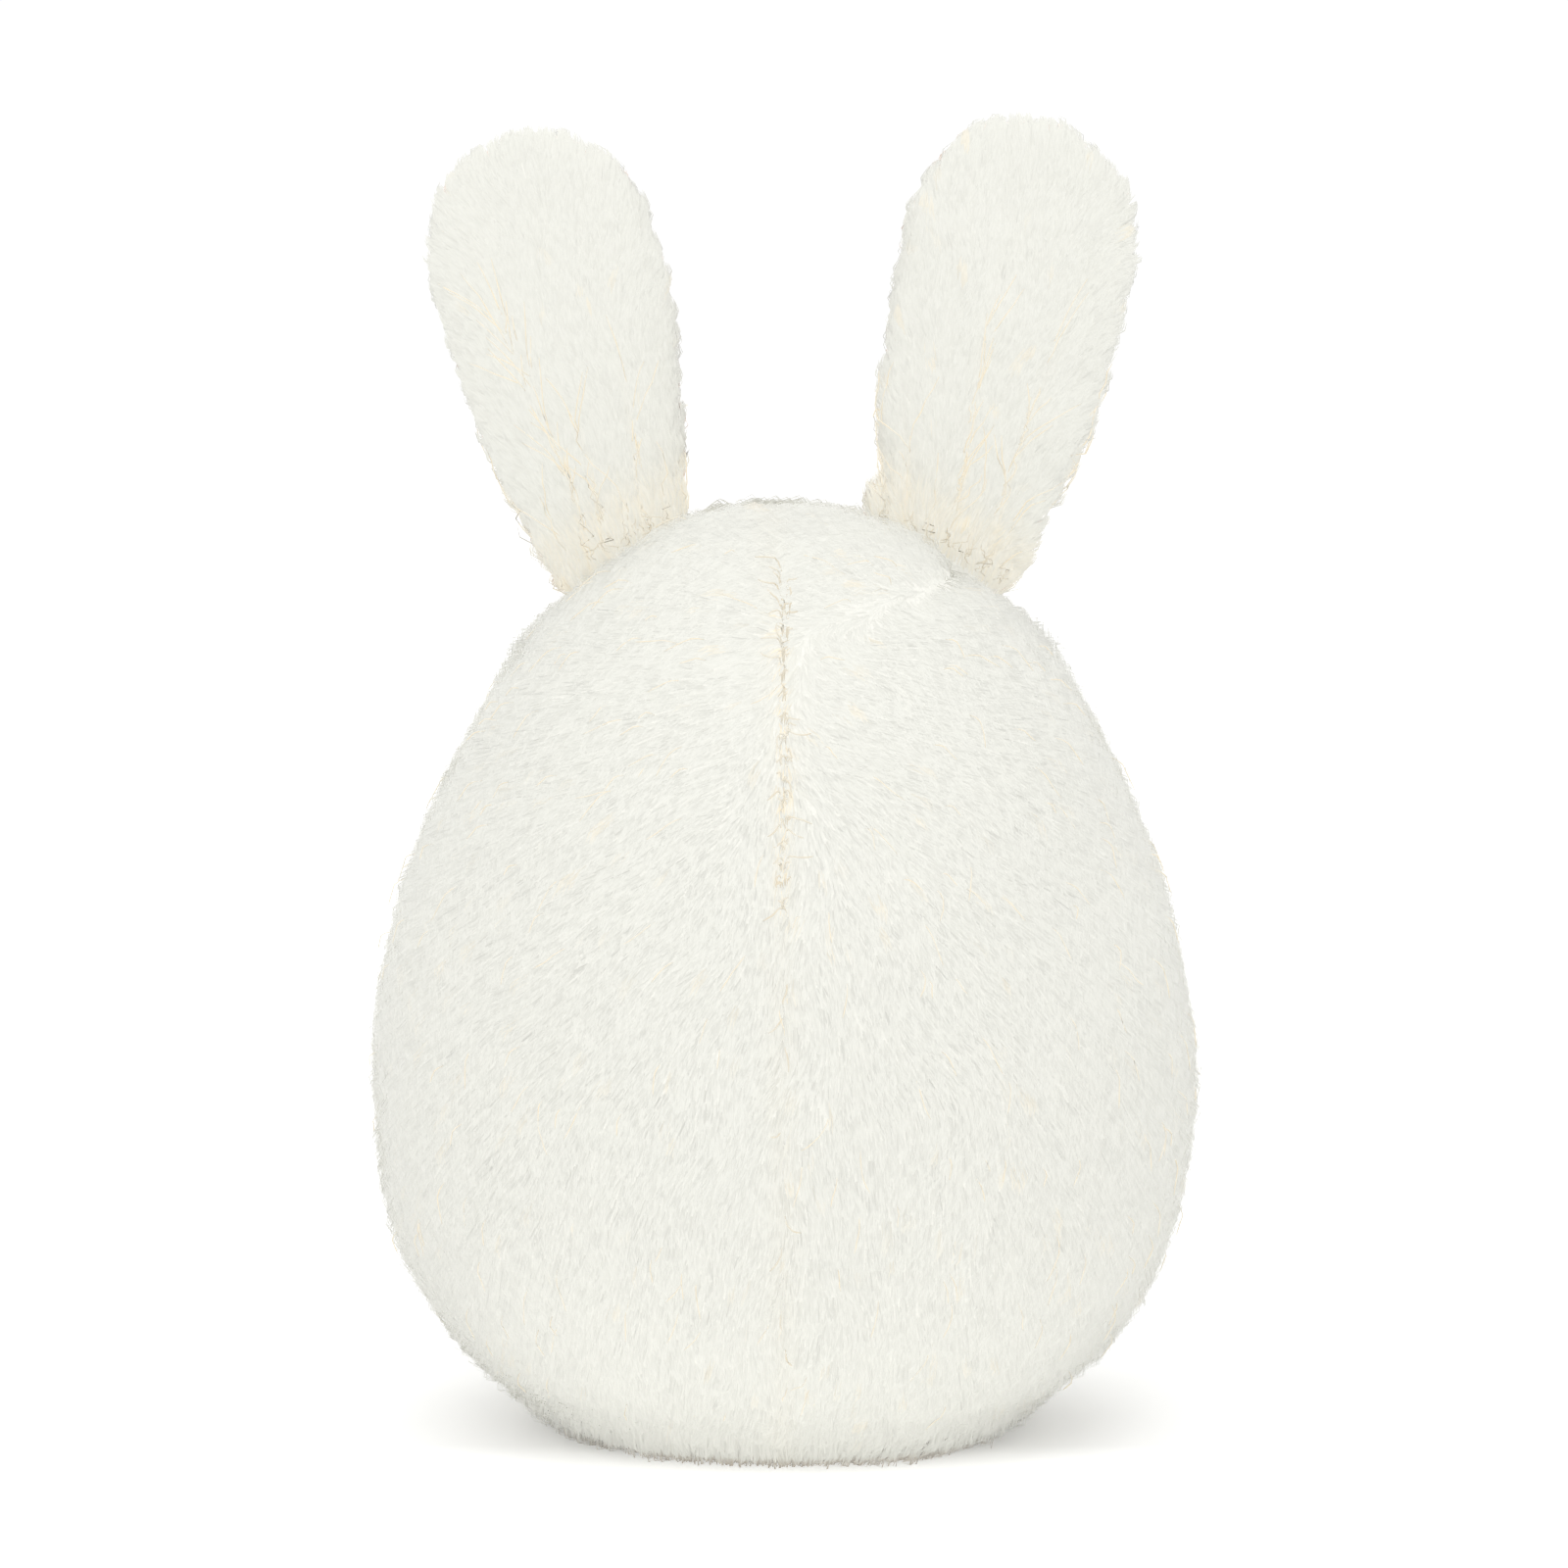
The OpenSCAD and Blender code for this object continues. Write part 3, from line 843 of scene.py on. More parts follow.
def ear_strands(name, ground):
    """Long pale creases up an ear's pile, and the gathered strands along its seam with the head."""
    side = SIDES[name]
    rng = np.random.default_rng(90 + side)
    e = ear()
    p, n, _ = scatter(ground, 4000, rng)
    s, u = ear_place(p, side)[:2]
    out = np.hypot(p[:, 0], p[:, 1]) - egg_half(p[:, 2], 0.2 * MM)
    crease = np.flatnonzero((gathers(s, u, side) < -0.25) & (out > 0) & (u < 0.7 * e.length))[:70]
    lengths = rng.uniform(3, 13, len(crease)) * MM
    paths = trails(ground, p[crease], n[crease], ear_flow(side), lengths, e.pile_lift, rng, 0.15)
    obj = strand_piece(f"ear_{name}_creases", paths, 0.10 * MM, "pale")
    bend(obj, name)
    cluster = Waves(60 + side, 9 * MM)(p)
    at_hem = (np.abs(out - 0.6 * MM) < 0.8 * MM) & (np.abs(n[:, 1]) > 0.5)
    hem = np.flatnonzero(at_hem & (cluster > -0.35))[:110]
    lengths = rng.uniform(1.2, 3.4, len(hem)) * MM
    paths = trails(ground, p[hem], n[hem], ear_flow(side), lengths, e.pile_lift, rng, 0.2)
    obj = strand_piece(f"ear_{name}_gathers", paths, 0.09 * MM, "warm")
    bend(obj, name)


def airy(obj):
    """Light goes through and between the fibres of a pile, so it casts no shadow of its own."""
    obj.visible_shadow = False
    obj.visible_diffuse = False


def settle_on_table(mesh):
    """Pile under the toy is pressed flat against the table."""
    p = points_of(mesh)
    floor = 0.05 * MM
    low = p[:, 2] < floor
    p[low, 2] = floor
    put_points(mesh, p)


# ---- ears ----

# What sets each ear apart from the other: how much longer it is, how full its tip is, how far its tip and its
# root lean in, how much wider each side is, and how far the pile of its outer edge sticks out
EAR_HABITS = {
    "left": {"longer": 0.0 * MM, "tip_power": 2.6, "tip_in": -1.6 * MM, "root_in": 0.7 * MM,
             "wider": 0.2 * MM, "spiky": 0.3},
    "right": {"longer": 1.6 * MM, "tip_power": 3.0, "tip_in": 0.4 * MM, "root_in": 1.2 * MM,
              "wider": 0.5 * MM, "spiky": 1.3},
}


def ear_axes(side):
    """The hinge line's middle, and the directions across the ear outwards, along it and to its back."""
    e = ear()
    name = "ear_left_flop" if side == LEFT else "ear_right_flop"
    origin = np.array(JOINTS[name]["pos_m"], float)
    across = np.array([side * math.cos(e.lean), 0, -math.sin(e.lean)])
    along = np.array([side * math.sin(e.lean), 0, math.cos(e.lean)])
    return origin, across, along, np.array([0.0, 1.0, 0.0])


def hinge_tilt():
    """Slope of the hinge line against the ear's own width."""
    axis = JOINTS["ear_left_flop"]["axis"]
    return math.tan(math.atan2(-axis[2], axis[0]) - ear().lean)


def ear_half_width(u, habit, inset):
    e = ear()
    full = e.length + habit["longer"] - inset
    wide = e.belly * e.length
    low = np.clip(u / wide, -0.3, 1)
    high = np.clip((u - wide) / (full - wide), 0, 1)
    widest = e.width / 2 + habit["wider"] - inset
    neck = widest - e.neck * (1 - low) ** 2
    tip = widest * np.sqrt(np.maximum(1 - high ** habit["tip_power"], 0))
    return np.where(u < wide, neck, tip)


def ear_half_thickness(u, habit, inset):
    e = ear()
    full = e.length + habit["longer"] - inset
    t = np.clip(u / full, 0, 1)
    swelling = np.sin(np.clip(t / 0.5, 0, 1) * math.pi / 2)
    grow = e.root_thickness / 2 + (e.thickness - e.root_thickness) / 2 * swelling
    close = np.sqrt(np.maximum(1 - np.clip((t - 0.35) / 0.65, 0, 1) ** 2.6, 0))
    return np.maximum(grow - inset, 0.6 * MM) * close


def ear_middle(u, habit):
    """How far the ear's middle bows outwards along its length."""
    e = ear()
    rise = 1 - np.exp(-np.maximum(u + 4 * MM, 0) / (15 * MM))
    return 2.5 * MM * rise - habit["root_in"] - habit["tip_in"] * np.clip(u / e.length - 0.35, 0, 1) ** 1.3


def ear_skin(side_name, inset, sunk, around=40, levels=40):
    """A closed skin of an ear, moved in by inset and run on under the hinge line by sunk."""
    side, habit = SIDES[side_name], EAR_HABITS[side_name]
    origin, across, along, back = ear_axes(side)
    full = ear().length + habit["longer"] - inset
    turn = np.linspace(0, 2 * math.pi, around, endpoint=False)
    rings = []
    for share in np.linspace(0, 1, levels):
        u = -sunk + (full * 0.998 + sunk) * (1 - (1 - share) ** 1.6)
        a = float(ear_half_width(u, habit, inset))
        b = float(ear_half_thickness(u, habit, inset))
        slope = -hinge_tilt() * (1 - share) ** 2
        ring = []
        for t in turn:
            s = float(ear_middle(u, habit)) + a * math.cos(t)
            h = b * math.copysign(abs(math.sin(t)) ** 0.85, math.sin(t))
            ring.append(origin + across * s + along * (u + slope * s) + back * h)
        rings.append(ring if side == LEFT else ring[::-1])
    return lofted("ear", rings)


def ear_place(p, side):
    """Points as distances across the ear, along it and to its back."""
    origin, across, along, back = ear_axes(side)
    q = p - origin
    return q @ across, q @ along, q @ back


def gathers(s, u, side):
    """Folds that fan up an ear from where it is gathered into the head's seam, from -1 to 1."""
    e = ear()
    fan = s / (1 + np.maximum(u, 0) / (42 * MM))
    drift = 0.9 * np.sin(fan / (5.1 * MM) + 1.3 * side) + 0.5 * np.sin(u / (9 * MM) + side)
    folds = np.sin(2 * math.pi * fan / (3.1 * MM) + drift)
    long_folds = np.sin(2 * math.pi * fan / (7.3 * MM) + 1.7 * drift)
    near_root = np.exp(-np.maximum(u, 0) / (11 * MM))
    further = np.exp(-np.maximum(u, 0) / (0.55 * e.length)) * 0.55
    return folds * near_root + long_folds * further


def bend(obj, side_name):
    """Bakes a piece's placing into its mesh; the hinge of its ear is looked up but not used."""
    joint = JOINTS["ear_" + side_name + "_flop"]
    axis = Vector(joint["axis"])
    up = Vector((0, 1, 0)).cross(axis) * -1
    if up.z < 0:
        up.negate()
    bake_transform(obj)


def ear_flow(side):
    """An ear's pile lies from its root to its tip and fans out towards its edges."""

    def flow(p, n):
        across, along = ear_axes(side)[1:3]
        s, u = ear_place(p, side)[:2]
        fan = s / (ear().width / 2)
        spiky = EAR_HABITS["left" if side == LEFT else "right"]["spiky"] * np.clip(fan, 0, 1) ** 3
        spiky = spiky * np.clip(1.2 - u / ear().length, 0, 1)
        direction = along + across * (0.55 * fan * np.abs(fan) + 0.25 * fan + spiky)[:, None]
        return unit(tangent(direction, n))

    return flow


def flat_out(side, way):
    """An ear's tufts face away from its middle plane, even round its rim."""
    back = ear_axes(side)[3]
    return lambda p, n: unit(n + 1.3 * way * np.asarray(back))


def ear_tint(side):
    def tint(p, rng):
        s, u = ear_place(p, side)[:2]
        root = np.exp(-np.maximum(u + 0.32 * s, 0) / (2.6 * MM))
        valley = np.clip(-gathers(s, u, side), 0, 1) ** 2
        spots = rng.uniform(0.3, 1.0, len(p))
        return (0.40 * root + 0.30 * valley) * spots

    return tint


class Ears(bpy.types.Operator):
    """Cuts, sews, stuffs and grooms both ears, and sews them to the head"""

    bl_idname = "bunny.ears"
    bl_label = "Ears"

    def execute(self, context):
        for name in SIDES:
            sew_ear(name)
        return {"FINISHED"}


def sew_ear(name):
    e, s, side = ear(), pile(), SIDES[name]

    def held(p):
        across, up, deep = ear_place(p, side)
        return np.clip(np.maximum(near(deep, 1.3 * MM), (up < 1 * MM) * 1.0), 0, 1)

    skin = stuffed(ear_skin(name, e.pile_room, e.sunk), 2.2 * MM, e.puff_cap, held)
    cut_along(skin, [((0, y, 0), (0, 1, 0)) for y in (0, -0.8 * MM, 0.8 * MM)])
    p, n = points_of(skin), normals_of(skin)
    across, up, deep = ear_place(p, side)
    edge = near(deep, 1.2 * MM) * (up > 2 * MM)
    p += n * (0.45 * MM * gathers(across, up, side) * (np.abs(n[:, 1]) > 0.3) - 0.5 * MM * edge)[:, None]
    p += n * (0.25 * MM * Waves(31 + side, 17 * MM)(p))[:, None]
    put_points(skin, p)

    faces = {"back": (lambda c: c.y > 0, backing_material(), "plush"),
             "front": (lambda c: c.y < 0, lining_material(), "ear_lining")}
    share = 1.0
    for face, (keep, material, slot) in faces.items():
        ground, thick = panel_of(skin, f"ear_{name}_{face}_fabric", keep, 0.7 * MM)
        made = piece(f"ear_{name}_{face}_fabric", thick, material, None, [f"ear_{name}_{face}_panel"])
        bend(made, name)
        seed = 300 + 40 * side + (10 if face == "front" else 0)
        if face == "back":
            mesh = groom(f"ear_{name}_back_pile", ground, int(s.ear_tufts * share), ear_flow(side), seed,
                         s.length * 0.95, s.width, e.pile_lift, flat_out(side, 1), above_head, ear_tint(side))
            tufts = piece(mesh.name, mesh, ear_pile_shaded_material(), smooth=False)
            ear_strands(name, ground)
        else:
            mesh = groom(f"ear_{name}_front_nap", ground, int(s.ear_tufts * share), ear_flow(side), seed,
                         s.length * 0.55, s.width, e.pile_lift * 0.8, flat_out(side, -1), above_head,
                         ear_tint(side))
            tufts = piece(mesh.name, mesh, nap_material(), smooth=False)
        airy(tufts)
        bend(tufts, name)


def above_head(p):
    """True for roots that aren't inside the head."""
    r = np.hypot(p[:, 0], p[:, 1])
    return r > egg_half(p[:, 2], 1.6 * MM)


# ---- face ----


def egg_face(x, z, proud=0.0):
    """A point on the front of the egg's outline, moved out by proud."""
    r = float(egg_half(z)) + proud
    return np.array([x, -math.sqrt(max(r * r - x * x, 0)), z])


def satin(name, middle_z, half_w, half_h, strands, radius):
    """A pad of satin stitches: threads side by side down a rounded triangle, crowned in the middle."""
    paths = []
    for i in range(strands):
        t = -1 + 2 * (i + 0.5) / strands
        top = half_h * (1 - 0.25 * t * t)
        bottom = -half_h * (1 - abs(t) ** 1.6) - 0.15 * half_h
        path = []
        for v in np.linspace(top, bottom, 7):
            crown = (1 - t * t) * (1 - (v / (1.15 * half_h)) ** 2)
            path.append(egg_face(t * half_w, middle_z + v, 0.5 * MM + 1.0 * MM * max(crown, 0)))
        paths.append(rounded(path, 2))
    return tubes(name, paths, radius, 8)


class Face(bpy.types.Operator):
    """Sets the eyes and embroiders the nose and mouth"""

    bl_idname = "bunny.face"
    bl_label = "Face"

    def execute(self, context):
        for side in SIDES:
            finish_node("eye_" + side, eye_material())
            finish_node("eye_washer_" + side, washer_material())
        low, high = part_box("nose")
        nose_z = (low.z + high.z) / 2
        mesh = satin("nose_satin", nose_z, high.x, (high.z - low.z) / 2, 15, 0.33 * MM)
        piece("nose_satin", mesh, embroidery_material(), TORSO, ["nose"])
        low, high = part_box("mouth_stitch")
        branch_z = low.z + 0.35 * (high.z - low.z)
        stem = [egg_face(0, z, 0.3 * MM) for z in np.linspace(high.z + 0.4 * MM, branch_z, 5)]
        paths = [rounded(stem)]
        for side in SIDES.values():
            smile = [egg_face(side * x * high.x, branch_z - dip * (branch_z - low.z), 0.3 * MM)
                     for x, dip in ((0.02, 0.0), (0.35, 0.75), (0.68, 0.95), (1.0, 0.45))]
            paths.append(rounded(smile))
        mesh = tubes("mouth_thread", paths, 0.42 * MM, 10)
        piece("mouth_thread", mesh, embroidery_material(), TORSO, ["mouth_stitch"])
        return {"FINISHED"}


def finish_node(node, material):
    """Gives a frame part its finish."""
    obj = NODES[node]
    obj.data.materials.clear()
    obj.data.materials.append(material)


# ---- stitching ----


def back_y(z, inset):
    return float(egg_half(z, inset))


class Stitching(bpy.types.Operator):
    """Sews the ladder stitches of the closing seam, and finishes the machine threads"""

    bl_idname = "bunny.stitching"
    bl_label = "Stitching"

    def execute(self, context):
        low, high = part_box("closing_stitches")
        half = (high.x - low.x) / 2 * 0.42
        rng = np.random.default_rng(5)
        steps = 19
        path = []
        for i in range(steps):
            z = low.z + (high.z - low.z) * (i + 0.5) / steps
            way = 1 if i % 2 else -1
            lean = rng.uniform(-0.25, 0.25) * MM
            for x, depth in ((-way * half, 3.1), (-way * half * 0.5, 2.6), (way * half * 0.5, 2.6),
                             (way * half, 3.1)):
                path.append((x, back_y(z, depth * MM), z + lean * x / half))
            path.append((way * half, back_y(z, 3.4 * MM), z + 0.5 * (high.z - low.z) / steps))
        mesh = tubes("ladder_thread", [rounded(path, 3)], 0.22 * MM, 8)
        piece("ladder_thread", mesh, thread_material(), TORSO, ["closing_stitches"])
        top = CROWN_Z - 4 * MM
        back = [seam_line(0, 1, SEAM_Z, low.z - PITCH), seam_line(0, 1, high.z + PITCH, top)]
        sides = [seam_line(x, 0, SEAM_Z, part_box("side_seam_thread")[1].z) for x in (1, -1)]
        turn = np.linspace(0, 2 * math.pi, 240)
        r = float(egg_half(SEAM_Z, seam_depth()))
        ring = [np.stack([r * np.cos(turn), r * np.sin(turn), 0 * turn + SEAM_Z], 1)]
        for seam, lines in (("back_seam", back), ("side_seam", sides), ("base_seam", ring)):
            sew(seam + "_stitches", seam + "_thread", lines)
        for side, way in SIDES.items():
            a, b = ear_root_line(way)
            hem = [(np.array(a) * (1 - t) + np.array(b) * t) for t in np.linspace(0.14, 0.86, 20)]
            lines = [np.array([[p[0], deep, p[2] - 2.5 * MM] for p in hem]) for deep in (-2.2 * MM, 2.2 * MM)]
            sew(f"ear_{side}_root_stitches", f"ear_{side}_root_thread", lines)
            sew_edge(side)
        return {"FINISHED"}


def seam_depth():
    """Depth of a seam's thread under the pile's tips."""
    b = body()
    return b.pile_room + b.seam_pull + 0.3 * MM


def seam_line(x, y, from_z, to_z):
    """A line up the egg in the direction (x, y), as deep as the seams."""
    z = np.linspace(from_z, to_z, 160)
    r = egg_half(z, seam_depth())
    return np.stack([r * x, r * y, z], 1)


def dashes(line, pitch, share):
    """Short separate runs along a line, one every pitch and as long as a share of it."""
    lengths = np.concatenate([[0], np.cumsum(np.linalg.norm(np.diff(line, axis=0), axis=1))])
    runs = []
    for start in np.arange(0, lengths[-1] - pitch, pitch):
        at = np.linspace(start, start + share * pitch, 4)
        runs.append(np.stack([np.interp(at, lengths, line[:, k]) for k in range(3)], 1))
    return runs


def sew(name, node, lines):
    """Machine stitches along lines, for a node's thread."""
    runs = [run for line in lines for run in dashes(line, PITCH, 0.75)]
    piece(name, tubes(name, runs, 0.25 * MM, 6), thread_material(), TORSO, [node])


def sew_edge(name):
    """The thread round an ear's edge seam, as separate stitches just inside the fabric's fold."""
    e, side, habit = ear(), SIDES[name], EAR_HABITS[name]
    origin, across, along = ear_axes(side)[:3]
    inset = e.pile_room + 1.2 * MM
    full = e.length + habit["longer"] - inset
    turn = np.linspace(0.12, 1, 60) ** 0.8
    right = [(float(ear_half_width(u, habit, inset)) + float(ear_middle(u, habit)), u) for u in full * turn]
    left = [(-float(ear_half_width(u, habit, inset)) + float(ear_middle(u, habit)), u) for u in full * turn]
    line = np.array([origin + across * s + along * u for s, u in right + left[::-1]])
    mesh = tubes(f"ear_{name}_edge_stitches", dashes(line, PITCH, 0.75), 0.25 * MM, 6)
    obj = piece(mesh.name, mesh, thread_material(), None, [f"ear_{name}_edge_thread"])
    bend(obj, name)


# ---- filling ----


def fluffed(mesh, size, depth, seed):
    """A skin pushed in and out in soft lumps, as loose fibre is."""
    fine = with_modifiers(mesh, ("SUBSURF", {"levels": 1}))
    p, n = points_of(fine), normals_of(fine)
    lumps = -np.abs(Waves(seed, size)(p)) - 0.5 * np.abs(Waves(seed + 1, size / 2.3)(p))
    put_points(fine, p + n * (depth * lumps)[:, None])
    return fine


class Filling(bpy.types.Operator):
    """Makes the fibre, the ears' wadding, and the pouch of pellets in the base"""

    bl_idname = "bunny.filling"
    bl_label = "Filling"

    def execute(self, context):
        mesh = fluffed(egg_skin(body().pile_room + 2.6 * MM, 64, 36), 22 * MM, 0.9 * MM, 41)
        cut = points_of(mesh)
        pouch_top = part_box("bean_pouch")[1]
        over = near(np.hypot(cut[:, 0], cut[:, 1]), 0.8 * pouch_top.x)
        low = cut[:, 2] < CROWN_Z / 4
        cut[:, 2] = np.where(low, np.maximum(cut[:, 2], (pouch_top.z + 1 * MM) * over + 4 * MM * (1 - over)),
                             cut[:, 2])
        put_points(mesh, cut)
        made = piece("body_fibre", mesh, fibre_material(), TORSO, ["body_stuffing"])
        for name in SIDES:
            inner = ear_skin(name, ear().pile_room + 1.3 * MM, -1.0 * MM, 28, 26)
            made = piece(f"ear_{name}_wadding", fluffed(inner, 14 * MM, 0.3 * MM, 51), fibre_material(),
                         None, [f"ear_{name}_stuffing"])
            bend(made, name)
        pouch = piece("pellet_pouch", pouch_mesh(), pouch_material(), TORSO, ["bean_pouch"])
        finish_node("bean_pellets", pellet_material())
        return {"FINISHED"}


def pouch_mesh():
    """Two discs of cloth sewn together round a flat hem, with wrinkles that run in from the seam."""
    low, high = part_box("bean_pouch")
    middle, rise, reach = (low.z + high.z) / 2, (high.z - low.z) / 2, high.x
    hem = 2.6 * MM
    cloth = 0.35 * MM
    profile = [(0.02, 1.0), (0.25, 0.99), (0.5, 0.93), (0.7, 0.79), (0.85, 0.55), (0.95, 0.25), (1.0, 0.06)]
    turn = np.linspace(0, 2 * math.pi, 96, endpoint=False)
    wrinkle = 0.5 * np.sin(19 * turn) + 0.35 * np.sin(31 * turn + 1) + 0.3 * np.sin(7 * turn + 2)
    rings = []
    outline = [(r, h, 1) for r, h in profile] + [(1.0, 0, 0)] + [(r, h, -1) for r, h in profile[::-1]]
    for r, h, way in outline:
        share = r ** 3
        radius = (reach - hem) * r + (hem if way == 0 else 0)
        height = rise * h * way + 0.5 * MM * wrinkle * share * (1 if way >= 0 else -1) * (h > 0.02)
        height = height if way else cloth * wrinkle * 0.5
        rings.append([(radius * math.cos(a), radius * math.sin(a), middle + np.clip(z, -rise, rise))
                      for a, z in zip(turn, np.broadcast_to(height, turn.shape))])
    return lofted("pouch", rings[::-1])


# ---- materials ----


def material(name, build):
    """A material by name, whose nodes build() makes once."""
    made = bpy.data.materials.get(name)
    if made is None:
        made = bpy.data.materials.new(name)
        made.use_nodes = True
        tree = made.node_tree
        tree.nodes.clear()
        out = tree.nodes.new("ShaderNodeOutputMaterial")
        shader = tree.nodes.new("ShaderNodeBsdfPrincipled")
        tree.links.new(shader.outputs["BSDF"], out.inputs["Surface"])
        build(tree, shader)
    return made


def node(tree, kind, inputs=None, **settings):
    """A node with its settings and its inputs, where an input is a value or another node's output."""
    made = tree.nodes.new(kind)
    for key, value in settings.items():
        setattr(made, key, value)
    for key, value in (inputs or {}).items():
        if isinstance(value, bpy.types.NodeSocket):
            tree.links.new(value, made.inputs[key])
        else:
            made.inputs[key].default_value = value
    return made


def place(tree, scale=(1, 1, 1)):
    """Where a point is on the resting object, in metres times scale."""
    at = node(tree, "ShaderNodeTexCoord").outputs["Object"]
    return node(tree, "ShaderNodeMapping", {"Vector": at, "Scale": scale}).outputs["Vector"]


def noise(tree, vector, scale, detail=3.0, rough=0.55):
    return node(tree, "ShaderNodeTexNoise", {"Vector": vector, "Scale": scale, "Detail": detail,
                                             "Roughness": rough}).outputs["Fac"]


def remap(tree, value, low, high, to_low=0.0, to_high=1.0):
    return node(tree, "ShaderNodeMapRange", {"Value": value, "From Min": low, "From Max": high,
                                             "To Min": to_low, "To Max": to_high}).outputs["Result"]


def mix(tree, share, a, b):
    made = node(tree, "ShaderNodeMix", data_type="RGBA")
    for socket, value in ((made.inputs[0], share), (made.inputs[6], a), (made.inputs[7], b)):
        if isinstance(value, bpy.types.NodeSocket):
            tree.links.new(value, socket)
        else:
            socket.default_value = value if isinstance(value, float) else (*value, 1.0)
    return made.outputs[2]


def multiplied(tree, a, b):
    return node(tree, "ShaderNodeMath", {0: a, 1: b}, operation="MULTIPLY").outputs[0]


def bump(tree, shader, height, distance, strength=1.0):
    made = node(tree, "ShaderNodeBump", {"Height": height, "Distance": distance, "Strength": strength})
    tree.links.new(made.outputs["Normal"], shader.inputs["Normal"])


def set_values(shader, **values):
    for key, value in values.items():
        shader.inputs[key.replace("_", " ")].default_value = value


def tint_of(tree):
    return node(tree, "ShaderNodeAttribute", attribute_name="tint").outputs["Fac"]


def along_of(tree):
    return node(tree, "ShaderNodeAttribute", attribute_name="along").outputs["Fac"]


def pile_nodes(tree, shader, tip, root):
    """Pile with painted shade down at its roots, cream where it is tinted, a little uneven from place to
    place, and a painted contact shadow just over the table.
    """
    c = colours()
    # Painted shade: from tip to root the pile darkens, for the shade down inside the pile.
    depth = remap(tree, along_of(tree), 0.0, 0.55)
    strand = mix(tree, depth, tuple(root), tuple(tip))
    cloud = remap(tree, noise(tree, place(tree), 45.0), 0.35, 0.7, 0.0, 0.10)
    strand = mix(tree, cloud, strand, tuple(root))
    strand = mix(tree, tint_of(tree), strand, tuple(c.cream))
    # Painted contact shadow: within 1.9 mm of the table the pile turns dark taupe, most of all below 0.4 mm.
    height = node(tree, "ShaderNodeSeparateXYZ", {"Vector": place(tree)}).outputs["Z"]
    strand = mix(tree, remap(tree, height, 0.4 * MM, 1.9 * MM, 0.8, 0.0), strand, tuple(c.contact_shadow))
    tree.links.new(strand, shader.inputs["Base Color"])
    set_values(shader, Roughness=0.62, Sheen_Weight=0.25, Sheen_Roughness=0.5, IOR=1.45,
               Specular_IOR_Level=0.35)


def pile_material():
    c = colours()
    return material("plush_pile", lambda tree, shader: pile_nodes(tree, shader, c.pile, c.pile_root_shade))


# The ears' pile is a shaded copy of the body's, painted 1% darker to take off the extra light that the ears
# catch.
def ear_pile_shaded_material():
    c = colours()
    tip, root = [0.99 * v for v in c.pile], [0.99 * v for v in c.pile_root_shade]
    return material("ear_pile_shaded", lambda tree, shader: pile_nodes(tree, shader, tip, root))


def strand_material(tone):
    """A loose strand, pale or warm, with its colour fading unevenly along it."""
    c = colours()
    deep = [0.95 * v for v in c.cream] if tone == "pale" else [0.80 * v for v in c.cream]

    def build(tree, shader):
        fade = remap(tree, noise(tree, place(tree), 260.0), 0.38, 0.68)
        light = mix(tree, 0.5, tuple(deep), tuple(c.pile))
        tree.links.new(mix(tree, fade, light, tuple(deep)), shader.inputs["Base Color"])
        set_values(shader, Roughness=0.6, Sheen_Weight=0.2)

    return material("strand_" + tone, build)


def nap_material():
    c = colours()
    # The nap's root colour, deep, is painted shade: darker than its tips.
    deep = [0.92 * v for v in c.lining]
    return material("velour_nap", lambda tree, shader: pile_nodes(tree, shader, c.lining, deep))


def cloth_nodes(colour, dark, cell, height):
    """Knitted or woven cloth: a grid of small loops with uneven colour."""

    def build(tree, shader):
        at = place(tree)
        loops = node(tree, "ShaderNodeTexVoronoi", {"Vector": at, "Scale": 1 / cell}).outputs["Distance"]
        uneven = noise(tree, at, 0.2 / cell)
        shade = remap(tree, loops, 0.1, 0.6)
        tone = mix(tree, multiplied(tree, shade, 0.6), tuple(colour), tuple(dark))
        tone = mix(tree, remap(tree, uneven, 0.4, 0.75, 0.0, 0.4), tone, tuple(dark))
        tree.links.new(tone, shader.inputs["Base Color"])
        tree.links.new(remap(tree, loops, 0.0, 0.7, 0.7, 0.95), shader.inputs["Roughness"])
        bump(tree, shader, loops, height)
        set_values(shader, Sheen_Weight=0.3, Sheen_Roughness=0.5)

    return build


def backing_material():
    c = colours()
    dark = [0.9 * v for v in c.backing]
    return material("plush_backing", cloth_nodes(c.backing, dark, 0.7 * MM, 0.12 * MM))


def lining_material():
    c = colours()
    dark = [0.88 * v for v in c.lining]
    return material("ear_lining_cloth", cloth_nodes(c.lining, dark, 0.6 * MM, 0.1 * MM))


def pouch_material():
    return material("pouch_cloth", cloth_nodes((0.78, 0.76, 0.70), (0.66, 0.64, 0.58), 0.5 * MM, 0.08 * MM))


def fibre_material():
    def build(tree, shader):
        at = place(tree, (1, 1, 0.35))
        hairs = noise(tree, at, 900.0, 8.0, 0.75)
        lumps = noise(tree, place(tree), 90.0, 4.0)
        tone = mix(tree, remap(tree, hairs, 0.35, 0.7), (0.80, 0.80, 0.79), (0.95, 0.95, 0.94))
        tone = mix(tree, remap(tree, lumps, 0.3, 0.7, 0.0, 0.35), tone, (0.74, 0.74, 0.73))
        tree.links.new(tone, shader.inputs["Base Color"])
        bump(tree, shader, hairs, 0.5 * MM, 0.8)
        set_values(shader, Roughness=0.9, Sheen_Weight=0.5)

    return material("loose_fibre", build)


